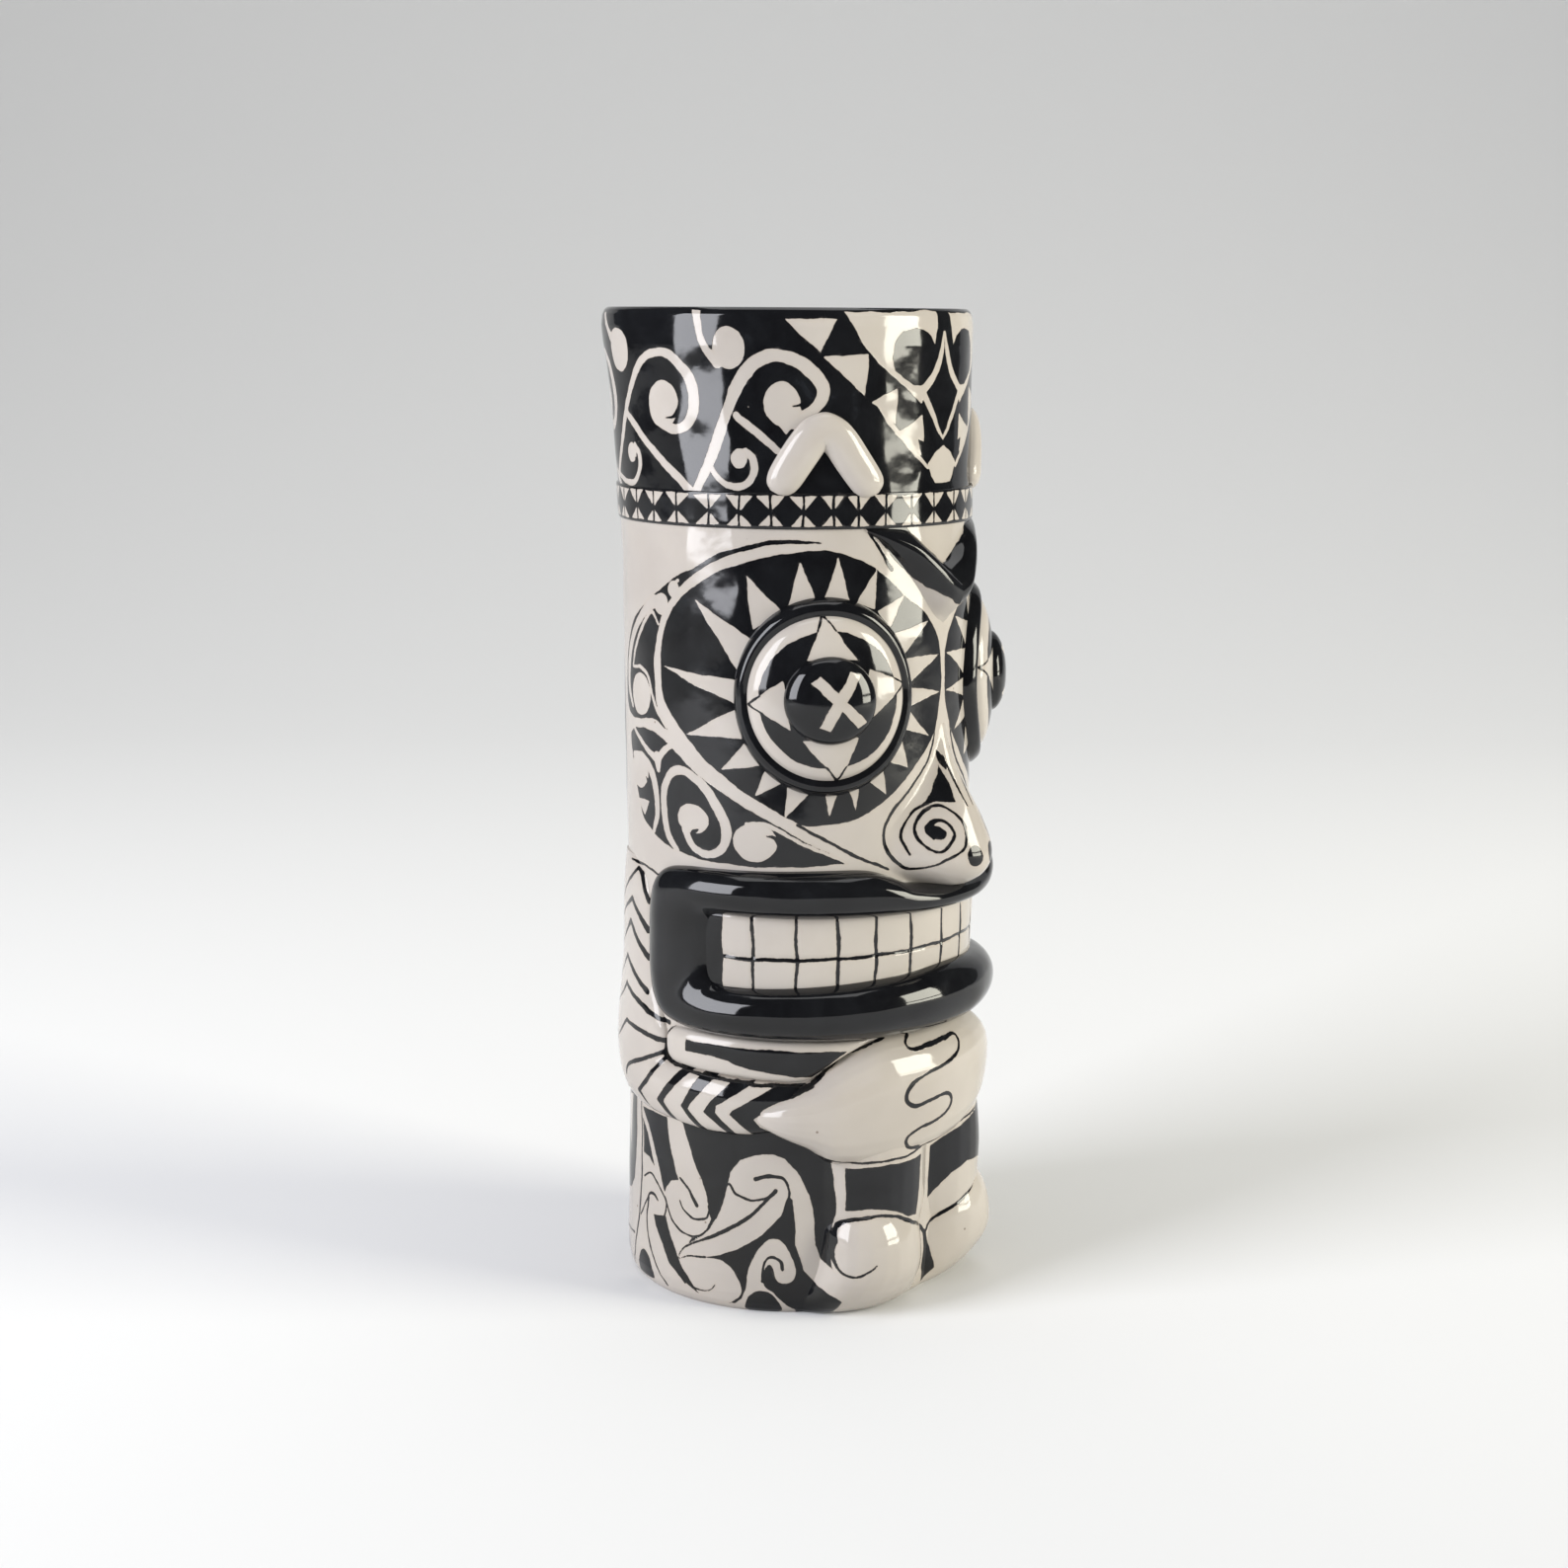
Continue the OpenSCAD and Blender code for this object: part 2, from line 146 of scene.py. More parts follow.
def strip(secs, n=2.2, step=0.3, k=40, closed=False, per=14, sink=0.25, foot=None):
    """Fine grid (a, z, h) of a relief strip, sections across it [a0, z0, a1, z1, height]."""
    s = np.asarray(secs, float)
    s = curve(s, per, closed)
    if closed:
        s = np.concatenate([s, s[:1]])
    s = even(s, step, closed)
    t = 0.5 - 0.5 * np.cos(np.pi * np.linspace(0, 1, k + 1))
    t = 0.45 * t + 0.55 * np.linspace(0, 1, k + 1)
    a = s[:, None, 0] + (s[:, None, 2] - s[:, None, 0]) * t
    z = s[:, None, 1] + (s[:, None, 3] - s[:, None, 1]) * t
    shape = bump(t, n)[None, :] if s.shape[1] == 5 else bump(t[None, :], n, s[:, None, 5])
    h = (s[:, None, 4] + sink) * shape - sink
    if foot is not None:
        h = foot(a, z, h, t[None, :] + 0 * a)
    return a, z, h


def along(c):
    c = np.asarray(c, float)
    out = []
    for i in range(len(c)):
        p, q = c[max(i - 1, 0)], c[min(i + 1, len(c) - 1)]
        d = np.array([(q[0] - p[0]) / MM, q[1] - p[1]])
        d /= np.linalg.norm(d)
        w = c[i][2]
        out.append([c[i][0] - d[1] * w * MM, c[i][1] + d[0] * w, c[i][0] + d[1] * w * MM, c[i][1] - d[0] * w, c[i][3]])
    return out


def flip(s):
    return [[-v[0], v[1], -v[2], *v[3:]] for v in s[::-1]]


EYE_A, EYE_Z, RING_R, BALL_R, PUPIL_R = 43.1, 126.1, 19.45, 15.95, 8.5
MME = 180 / math.pi / 39.6       # the same on the raised eye


def ball_h(rho):
    """Height of the eye over the wall at rho mm from its centre, ring, ball and pupil in one."""
    q = np.clip(rho / BALL_R, 0, 1)
    face = 1.9 + 3.6 * np.sqrt(np.maximum(0, 1 - q ** 2 * 0.985)) - 0.35 * np.exp(-((rho - BALL_R) / 0.7) ** 2)
    up = np.sqrt(np.maximum(0, 1 - (rho / PUPIL_R) ** 2))
    dome = (8.4 - face) * up
    return face + np.where(rho < PUPIL_R, dome, 0)


def ring_h(rho):
    t = (rho - BALL_R) / (RING_R - BALL_R)
    return 2.35 * np.sqrt(np.maximum(0, 1 - t ** 2.2)) + 0.35 * np.sin(np.pi * np.clip(t, 0, 1)) ** 2 - 0.3 * np.exp(-(t / 0.14) ** 2) - 0.25 * t


def polar(r0, r1, hfun, step=0.3, ca=EYE_A, cz=EYE_Z):
    """Grid (a, z, h) round the eye's centre, closed in the first direction."""
    m = int(2 * np.pi * r1 / step)
    th = np.arange(m) / m * 2 * np.pi
    k = max(6, int(round((r1 - r0) / step)))
    rho = np.linspace(r0, r1, k + 1)
    a = ca + rho[None, :] * np.cos(th)[:, None] * MME
    z = cz + rho[None, :] * np.sin(th)[:, None]
    return a, z, np.broadcast_to(hfun(rho)[None, :], a.shape).copy()


CHEVRON = [[58.0, 165.3, 1.2, 0.5], [57.3, 166.1, 2.5, 1.4], [55.4, 168.0, 3.3, 2.1], [51.7, 171.7, 3.5, 2.3], [48.1, 175.0, 3.5, 2.4], [45.8, 176.4, 3.6, 2.4], [43.4, 176.8, 3.8, 2.4],
           [41.1, 176.3, 3.6, 2.4], [38.6, 174.8, 3.5, 2.4], [34.6, 171.1, 3.5, 2.3], [30.2, 167.2, 3.3, 2.1], [28.3, 165.7, 2.5, 1.4], [27.6, 165.0, 1.2, 0.5]]
BROW_SHAPE = np.array([[0, 0], [0.05, 0.17], [0.12, 0.44], [0.22, 0.74], [0.33, 0.94], [0.43, 1], [0.53, 0.97], [0.63, 0.85], [0.73, 0.63], [0.82, 0.38], [0.9, 0.17], [0.96, 0.05], [1, 0]])
BROW = [[31.0, 158.4, 30.6, 157.8, 0.3], [26.5, 158.4, 25, 155.0, 1.0], [21, 158.4, 18.8, 151.0, 1.9], [15.8, 157.8, 13.2, 147.0, 3.0],
        [10.6, 155.6, 8.6, 143.2, 4.1], [5.4, 153.0, 4.4, 140.2, 4.9], [0.0, 151.2, 0.0, 138.6, 4.7]]
NOSE = [[1.6, 119, 0.1], [3.4, 115.8, 0.7], [6.4, 112.2, 1.9], [10.4, 108.6, 3.6], [15.2, 105, 5.6], [20, 101.6, 7.4], [24, 98.2, 8.9],
        [26, 95.4, 9.9], [25.6, 93.0, 10.2], [23, 91.0, 9.7], [19, 89.4, 8.6], [15, 88.2, 7.0], [12, 87.3, 5.3], [10.4, 86.8, 3.4]]
LIP_TOP = [[0, 87.9, 0, 82.2, 5.5, .48], [10, 88, 9.5, 82.2, 5.5, .48], [18, 88.8, 16.5, 82.2, 5.4, .48], [24, 90.4, 22, 82.2, 5.3, .48], [31, 91.7, 29, 82.25, 5.15, .48], [42, 92, 38, 82.3, 4.9, .48],
           [60, 91.8, 54, 82.4, 4.7, .48], [78, 91.6, 68, 82.5, 4.5, .48], [90, 91.3, 75, 82.6, 4.3, .5], [98.5, 90.2, 78.5, 82.1, 4.1, .53], [104, 87.2, 79.6, 80.6, 3.9, .57], [106.6, 82, 79.9, 78.2, 3.8, .6], [107.2, 75.2, 79.9, 75.2, 3.75, .6]]
LIP_BOT = [[107.2, 75.2, 79.9, 75.2, 3.75, .6], [107, 69, 79.8, 72.4, 3.8, .6], [105.2, 64.2, 79.3, 70.2, 3.9, .57], [101, 60.8, 77.5, 68.7, 4.1, .54], [93, 59, 73, 68.2, 4.4, .5], [81, 58.1, 66, 68.3, 4.9, .48],
           [65, 57.8, 54, 68.7, 5.4, .48], [45, 57.6, 38, 69.3, 6.0, .48], [25, 57.5, 21, 70, 6.3, .48], [0, 57.4, 0, 70.8, 6.4, .48]]
UPPER_ARM = [[138, 90.4, 121, 90.4, 0.3], [139, 88, 113, 88, 0.7], [140, 84, 108.6, 84, 1.1], [141, 76, 107.6, 76, 1.3], [142, 69.4, 107.4, 69.4, 1.5], [144, 63, 105.6, 63.8, 1.8],
             [147, 57, 101.5, 60.4, 2.3], [147.5, 51.5, 99.2, 56.6, 2.7], [143, 46.5, 98.6, 53, 2.9], [134.5, 43, 98, 51, 3], [124, 40.6, 97, 50.4, 3]]
FOREARM = [[124, 40.6, 97, 50.4, 3], [112, 39.2, 94, 50.2, 3], [100, 38.5, 90.5, 50.1, 3.05], [91, 38.2, 86, 50, 3.1], [83, 37.8, 80, 49.8, 3.2], [75, 37.5, 74, 49.6, 3.3], [70, 37.6, 70, 49.4, 3.3],
           [66, 37.9, 66, 49.3, 3.2], [62, 38.3, 62, 49.2, 3.0], [57, 39, 57, 49, 2.6], [52, 40, 52, 48.8, 1.9], [48, 42, 48, 48, 0.8]]
CHEST = [[98, 56.4, 98, 53, 0.8], [96.2, 57.8, 96.2, 51.2, 1.5], [91, 58.2, 91, 50.5, 1.9], [82, 58, 82, 50.1, 2.1], [70, 57.8, 70, 49.7, 2.1], [58, 57.6, 58, 49.3, 2.1], [50, 57.6, 50, 49.4, 2.1],
         [44, 57.5, 44, 51.6, 2], [38, 57.5, 38, 54.1, 1.8], [33, 57.5, 33, 55.8, 1.5], [29.5, 57.4, 29.5, 56.8, 0.8]]
HAND_SHAPE = np.array([[0, 0], [0.03, 0.22], [0.08, 0.47], [0.15, 0.7], [0.25, 0.89], [0.37, 0.98], [0.5, 1], [0.63, 0.985], [0.75, 0.94], [0.85, 0.82], [0.92, 0.63], [0.97, 0.35], [1, 0]])
HAND = [[64.6, 42.6, 64.6, 41.4, 2.2], [62.8, 44.3, 62.8, 40.0, 3.3], [59, 45.6, 59, 38.6, 4.4], [54, 47.4, 54, 37.0, 5.3], [48, 49.4, 48, 35.2, 5.6], [44.5, 51.0, 44.5, 33.6, 5.8], [41, 52.6, 41, 32.0, 6.0], [34, 55.2, 34, 31.0, 6.0],
        [27, 57.1, 27, 30.8, 6.1], [18, 57.35, 18, 31.2, 6.1], [9, 57.3, 9, 31.9, 6.0], [0.0, 57.25, 0.0, 32.5, 6.0]]
# the far hand's lower edge runs a little higher
HAND_FAR = [[64.6, 42.6, 64.6, 42.0, 1.6], [62.8, 44.3, 62.8, 41.4, 2.8], [59, 45.6, 59, 40.4, 4.1], [54, 47.4, 54, 39.4, 5.1], [48, 49.4, 48, 38.3, 5.6], [41, 52.6, 41, 37.0, 6.0], [34, 55.2, 34, 36.2, 6.0],
            [27, 57.1, 27, 35.6, 6.1], [18, 57.35, 18, 34.8, 6.1], [12, 57.3, 12, 34.0, 6.1], [6, 57.3, 6, 33.0, 6.0], [0.0, 57.25, 0.0, 32.5, 6.0]]
LEG = [[43.0, 38.5, 0.1, 38.5, 4.6], [43.2, 35.5, 0.1, 35.5, 5.0], [43.4, 32.5, 0.1, 32.5, 5.3], [43.4, 29, 0.1, 29, 5.5], [43.4, 25.5, 0.1, 25.5, 5.5], [42.8, 21.0, 0.3, 21.0, 5.4], [41, 17, 2, 17, 4.9], [36, 12, 6, 12, 3.6]]
FOOT = [[34, 22.4, 16, 22.4, 3.8], [39, 20.8, 9, 20.8, 5.6], [41.2, 18.2, 5, 18.2, 7.2], [42.2, 14.4, 2.6, 14.4, 8.2], [43.2, 10, 1.4, 10, 8.3], [45, 6.5, 1.0, 6.5, 7.0],
        [46.6, 4, 1.2, 4, 5.4], [47.6, 2, 1.8, 2, 3.8], [48, 0.8, 2.8, 0.8, 2.7], [48, 0, 4, 0, 1.6]]


def mirrored(secs):
    return flip(secs)[:-1] + list(secs) if abs(secs[0][0]) < 1e-6 else list(secs)[:-1] + flip(secs)


def grids():
    """Every relief form of the figure's right side (and the ones on the midline) as {name: ((a, z, h), closed)}."""
    g = {}
    g["crest_chevron"] = (strip(along(CHEVRON), 2.2, 0.28, 30), False)
    g["brow"] = (strip(BROW, BROW_SHAPE, 0.28, 40), False)
    g["eye_ring"] = (polar(BALL_R, RING_R, ring_h, 0.28), True)
    g["eyeball"] = (polar(PUPIL_R - 0.3, BALL_R, lambda r: ball_h(np.maximum(r, PUPIL_R + 1e-6)), 0.26), True)
    g["pupil"] = (polar(0.02, PUPIL_R, ball_h, 0.24), True)
    g["nose"] = (strip([[q[0], q[1], -q[0], q[1], q[2]] for q in NOSE], "cos", 0.26, 150, sink=0.0), False)
    g["upper_lip"] = (strip(mirrored(LIP_TOP), 2.1, 0.4, 44), False)
    g["lower_lip"] = (strip(mirrored(LIP_BOT), 2.1, 0.4, 48), False)
    g["teeth"] = (strip([[a, 68.0, a, 82.9, 1.1] for a in np.arange(-81, 81.1, 3)], 10, 0.28, 56), False)
    g["upper_arm"] = (strip(UPPER_ARM, 2.4, 0.28, 100), False)
    g["forearm"] = (strip(FOREARM, 2.3, 0.28, 46), False)
    g["chest_panel"] = (strip(CHEST, 3.2, 0.28, 34), False)
    g["hand"] = (strip(HAND, HAND_SHAPE, 0.28, 90), False)
    g["hand_far"] = (strip(HAND_FAR, HAND_SHAPE, 0.28, 90), False)
    g["leg"] = (strip(LEG, LEG_SHAPE, 0.28, 100), False)
    g["foot"] = (strip(FOOT, FOOT_SHAPE, 0.28, 100), False)
    return g
# ---------------------------------------------------------------- end model
# ---------------------------------------------------------------- painted drawing
# Shapes are laid over each other in order, on (angle, height). Each vertex keeps its signed distance in mm from the
# nearest edge of black, negative inside it, and the glaze material turns that into black and cream.
MIR, ONE = [], []                # drawn on both sides, and on one side only
LIM = 1.5


def put(colour, kind, data, both=True):
    (MIR if both else ONE).append((colour, kind, data))


def uz(pts):
    p = np.asarray(pts, float).copy()
    p[:, 0] /= MM
    return p


def poly(colour, pts, smooth=False, both=True):
    p = uz(pts)
    if smooth:
        p = curve(p, 6, True)
    put(colour, "poly", p, both)


def line(colour, pts, w=None, smooth=True, both=True):
    """A brush line through (angle, height[, width]) points; w is its width in mm where the points have none."""
    p = [list(q) + ([w] if len(q) == 2 else []) for q in pts]
    p = uz(p)
    if smooth and len(p) > 2:
        p = curve(p, 6)
    put(colour, "line", p, both)


def blob(colour, c, rx, ry, turn=0, both=True):
    """Ellipse round (angle, height), half-widths in degrees and mm."""
    put(colour, "blob", (c[0] / MM, c[1], rx / MM, ry, turn), both)


def bar(colour, p, q, w, both=True):
    a, b = np.array([p[0] / MM, p[1]]), np.array([q[0] / MM, q[1]])
    d = (b - a) / np.linalg.norm(b - a)
    n = np.array([-d[1], d[0]]) * w / 2
    put(colour, "poly", np.array([a + n, b + n, b - n, a - n]), both)


def sdf(kind, data, x, y):
    if kind == "blob":
        cx, cy, rx, ry, turn = data
        c, s = math.cos(turn * DEG), math.sin(turn * DEG)
        u, v = (x - cx) * c + (y - cy) * s, -(x - cx) * s + (y - cy) * c
        k = np.sqrt((u / rx) ** 2 + (v / ry) ** 2) + 1e-9
        g = np.sqrt((u / rx ** 2) ** 2 + (v / ry ** 2) ** 2) + 1e-9
        return np.where(k > 0.3, (k - 1) * k / g, -min(rx, ry) * (1 - k))
    p = data
    best = np.full(x.shape, 1e9)
    if kind == "poly":
        inside = np.zeros(x.shape, bool)
        n = len(p)
        for i in range(n):
            x0, y0, x1, y1 = p[i, 0], p[i, 1], p[(i + 1) % n, 0], p[(i + 1) % n, 1]
            dx, dy = x1 - x0, y1 - y0
            t = np.clip(((x - x0) * dx + (y - y0) * dy) / (dx * dx + dy * dy + 1e-12), 0, 1)
            best = np.minimum(best, (x - x0 - t * dx) ** 2 + (y - y0 - t * dy) ** 2)
            if y0 != y1:
                cross = ((y0 > y) != (y1 > y)) & (x < x0 + (y - y0) * dx / dy)
                inside ^= cross
        d = np.sqrt(best)
        return np.where(inside, -d, d)
    for i in range(len(p) - 1):
        x0, y0, w0 = p[i]
        x1, y1, w1 = p[i + 1]
        dx, dy = x1 - x0, y1 - y0
        t = np.clip(((x - x0) * dx + (y - y0) * dy) / (dx * dx + dy * dy + 1e-12), 0, 1)
        best = np.minimum(best, np.sqrt((x - x0 - t * dx) ** 2 + (y - y0 - t * dy) ** 2) - (w0 + (w1 - w0) * t) / 2)
    return best


def reach(kind, data):
    m = LIM + 0.3
    if kind == "blob":
        r = max(data[2], data[3]) + m
        return data[0] - r, data[0] + r, data[1] - r, data[1] + r
    w = data[:, 2].max() / 2 if kind == "line" else 0
    return data[:, 0].min() - w - m, data[:, 0].max() + w + m, data[:, 1].min() - w - m, data[:, 1].max() + w + m


def paint(a, z, shapes=None):
    """Signed distance to black at each point, mm, from -LIM to LIM."""
    shape = a.shape
    x, y = (a / MM).ravel(), z.ravel()
    x2 = x + 0.09 * np.sin(0.7 * y + 0.4 * x) + 0.04 * np.sin(1.7 * x - 0.9 * y)
    y2 = y + 0.08 * np.sin(0.6 * x + 1.3) + 0.04 * np.sin(1.4 * y + 1.5 * x)
    f = np.full(x.shape, LIM)
    for both, group in ((True, MIR), (False, ONE)) if shapes is None else ((False, shapes),):
        xx = np.abs(x2) if both else x2
        order = np.argsort(y2, kind="stable")
        ys = y2[order]
        for colour, kind, data in group:
            x0, x1, y0, y1 = reach(kind, data)
            rows = order[np.searchsorted(ys, y0):np.searchsorted(ys, y1)]
            rows = rows[(xx[rows] > x0) & (xx[rows] < x1)]
            if not len(rows):
                continue
            s = sdf(kind, data, xx[rows], y2[rows])
            f[rows] = np.minimum(f[rows], s) if colour == "B" else np.maximum(f[rows], -s)
    return np.clip(f, -LIM, LIM).reshape(shape)


B, W = "B", "W"
# headdress: black, with white drawn on it
poly(B, [(-2, 165), (200, 165), (200, 203), (-2, 203)])
for o in (0, 42.5):
    line(W, [(122 + o, 193.2, 2.6), (126 + o, 195.6, 1.5), (129.5 + o, 198, 1.2), (132.8 + o, 201, 1.2)])
    blob(W, (118 + o, 191.8), 6.6, 4.2)
    line(W, [(129 + o, 167.3, 1.5), (122 + o, 174, 1.5), (115.5 + o, 181.3, 1.5), (109 + o, 187.0, 1.7), (103.5 + o, 190.3, 1.6), (98 + o, 191.4, 1.6), (92 + o, 190.9, 1.9),
             (86.6 + o, 188, 2.2), (83.6 + o, 184, 2.4), (84.3 + o, 180, 2.2), (87.8 + o, 177.4, 2), (92.5 + o, 176.9, 2), (98 + o, 178.6, 2.4)])
    blob(W, (95.9 + o, 181.6), 6.5, 4.5)
    line(B, [(94.6 + o, 178.9, 0.35), (91.6 + o, 179.1, 0.6), (89.3 + o, 180.4, 1.1), (88.4 + o, 182, 1.3)])
    line(W, [(116.2 + o, 179.6, 1.5), (100 + o, 172, 1.6), (85 + o, 165, 1.9)], smooth=False)
    line(W, [(129.5 + o, 167.6, 1.3), (125 + o, 166.6, 1.2), (119 + o, 166, 1.2), (113 + o, 166.3, 1.3), (109.6 + o, 168.6, 1.4), (109.2 + o, 171.4, 1.5), (111.6 + o, 173.2, 1.3)])
    blob(W, (113.9 + o, 171.9), 3.1, 1.9)
    line(B, [(111.8 + o, 170.8, 0.3), (110.9 + o, 170.3, 0.7)])
line(W, [(75.5, 189.6, 2.2), (78.6, 191.8, 1.6), (81, 195.2, 1.4), (82.8, 201, 1.6)])
blob(W, (71.9, 192.4), 4.9, 4.0)
line(B, [(77.7, 192.4, 0.2), (77.9, 194.2, 0.7)])
line(W, [(83.6, 165.2, 1.7), (79.5, 170, 2.2), (75.6, 175.4, 2.2), (72.6, 180.6, 2.1), (69.6, 185.2, 2.4), (64.6, 189.4, 2.6), (58.5, 191.0, 2.4), (52, 190.2, 2.4), (46.8, 187.8, 2.6),
         (44, 184.8, 2.5), (45.2, 182, 2.2), (48.8, 180, 2.2), (52, 178.4, 2.2)])
blob(W, (56, 182), 5.4, 4.2)
poly(W, [(61.1, 181.8), (58, 178.5), (54.7, 176.3), (51.5, 178.6), (50.5, 181)])
line(B, [(52.9, 181.7, 0.35), (50, 182.1, 0.7), (47.8, 183.2, 1.3), (47.6, 185, 1.5)])
line(W, [(69.6, 179.8, 1.5), (57.2, 173.2, 1.4)], smooth=False)
line(W, [(78, 169.6, 1.1), (75, 167.4, 1.2), (71, 166.3, 1.3), (66.8, 167, 1.4), (64.4, 169.4, 1.5), (64.8, 171.9, 1.4), (67, 173.2, 1.2)])
blob(W, (68.9, 171.8), 2.7, 1.9)
poly(W, [(55.3, 197.9), (39.7, 197.9), (45, 191.6)])
poly(W, [(44, 190.8), (30, 191.5), (31.1, 183.5)])
poly(W, [(39, 201), (3.1, 201), (3.9, 196.5), (5, 193.1), (7, 194.8), (10.5, 196), (14, 196.3), (18.5, 195.8), (21.5, 193.5), (22.4, 190.5), (21, 188.2), (14.5, 185.6), (9.6, 185.2),
         (9.4, 183), (10.5, 181.9), (15, 184), (21, 186.9), (26.8, 189.4), (32, 193.4)])
line(W, [(0.2, 195.6, 0.5), (1.5, 191.8, 1.3), (4.4, 188.0, 1.5), (8.2, 185.3, 1.6), (10.6, 184.4, 1.6)])
line(W, [(10.4, 184.6, 1.5), (6, 180.2, 1.3), (2.6, 177, 0.9), (-0.3, 175.0, 0.5)], smooth=False)
poly(W, [(0, 173.9), (4.6, 172.4), (8, 170.2), (6, 168), (4, 166.6), (-4, 166.6), (-6, 168), (-8, 170.2), (-4.6, 172.4)])
poly(W, [(28.9, 182.3), (20.2, 185), (20.6, 178)])
poly(W, [(19, 176.6), (10.4, 179.8), (9.4, 174.6)])
poly(W, [(10.6, 172.0), (21.2, 176.4), (13.5, 178.6)])
line(W, [(8, 169.6, 0.7), (21.5, 177.6, 1.0), (27, 182, 0.6)])
# face: cream, the black field outside the eye
poly(B, [(44.4, 155.7), (52, 156.4), (62, 155.9), (75, 153.7), (85, 150.5), (93, 148.2), (101, 145.2), (110, 141.9), (118, 138.6), (123, 134.6), (126, 129.5), (127, 124.5), (125.4, 120.6),
         (121.5, 119.2), (116, 118.9), (108, 119.4), (103, 119.6), (96.6, 117.9), (101, 121.3), (103, 126), (103.3, 131), (102.3, 135), (99.3, 140), (94, 144.4), (88, 147.9), (80, 151.1), (70, 153.7),
         (60, 155.2), (52, 155.7)], smooth=True)
line(W, [(120, 121.2, 1.0), (123.4, 124.6, 1.8), (123.6, 129, 2), (120.6, 133.6, 2), (115, 137.7, 2), (109, 140.8, 2.1), (103.6, 142.9, 2.6), (99.6, 143.2, 3)])
line(W, [(119, 129.4, 0.6), (117, 132.4, 0.9), (110.5, 137.6, 0.9), (105, 140.9, 0.8), (102.6, 140.2, 0.6), (100.9, 138.8, 0.5)])
blob(W, (112.6, 124), 6.8, 4.3)
line(W, [(119, 129.2, 0.6), (112.5, 129.4, 0.8), (107.4, 128, 0.9), (104.9, 124.6, 0.9), (101.6, 121.3, 0.9), (97.5, 118.6, 0.7)])
blob(W, (93.6, 145.9), 2.5, 1.6)
line(W, [(94, 146.8, 0.5), (91.6, 147.6, 0.6)])
blob(W, (99.4, 142.9), 3.6, 2.1)
# under it
poly(B, [(123, 115.4), (118, 116.9), (110, 117.3), (103, 117), (97, 115.4), (90, 112.3), (80, 108.3), (70, 104.9), (60, 101.5), (50, 98.0), (36.5, 93.3), (45, 92.9), (62, 92.5), (80, 92.8),
         (95.6, 94.1), (105, 96.3), (112, 98.6), (115, 102), (118, 106), (121, 110), (123, 113)])
line(W, [(118.6, 116.6, 1.0), (110, 113.4, 1.2), (102.5, 111.6, 1.7)], smooth=False)
line(W, [(102.5, 111.6, 1.7), (97.6, 114.2, 1.4), (92, 115.4, 0.9)])
line(W, [(102.4, 112, 2.6), (102.2, 109.6, 1.2)])
line(W, [(120, 111.2, 1.4), (113, 111.4, 1.8), (107, 109.4, 2.1), (103.8, 105.4, 1.9), (103.5, 100.8, 1.6), (105.6, 97, 1.1)])
blob(W, (114.8, 108.6), 6.6, 3.7)
line(B, [(110, 107.4, 0.3), (108.6, 106.3, 0.9), (109.6, 104.6, 1.4)])
poly(W, [(116.6, 102.7), (107.8, 102.7), (111.3, 99.4)])
line(W, [(93.6, 94, 1.1), (97.4, 96.8, 1.7), (99.6, 101.4, 1.9), (98.9, 106.4, 1.9), (95, 109.6, 1.9), (89.4, 110.2, 1.8), (83.4, 108.4, 1.9), (78, 104.6, 2.1), (74.3, 99.6, 2.2), (75.4, 95.9, 1.9),
         (79.6, 94.3, 1.6), (84.4, 94.7, 1.5), (87.8, 96.2, 1.6), (89.6, 98.6, 1.9)])
blob(W, (86.7, 101), 6.2, 2.9)
line(B, [(84.5, 99, 0.3), (86.6, 98.2, 1.0), (85.6, 96.8, 1.1)])
blob(W, (65, 97.4), 6.9, 3.9)
line(W, [(67.5, 101, 0.9), (61.5, 101, 0.9), (54, 98.6, 0.8), (45, 95.8, 0.7), (36.7, 93.4, 0.5)])
line(B, [(61.3, 98.7, 0.3), (58.8, 98.3, 0.8), (56.8, 96.8, 1.3)])
line(B, [(52, 101.2, 0.5), (45, 98.6, 0.6), (35, 95.0, 0.6), (23.3, 91.4, 0.6)])
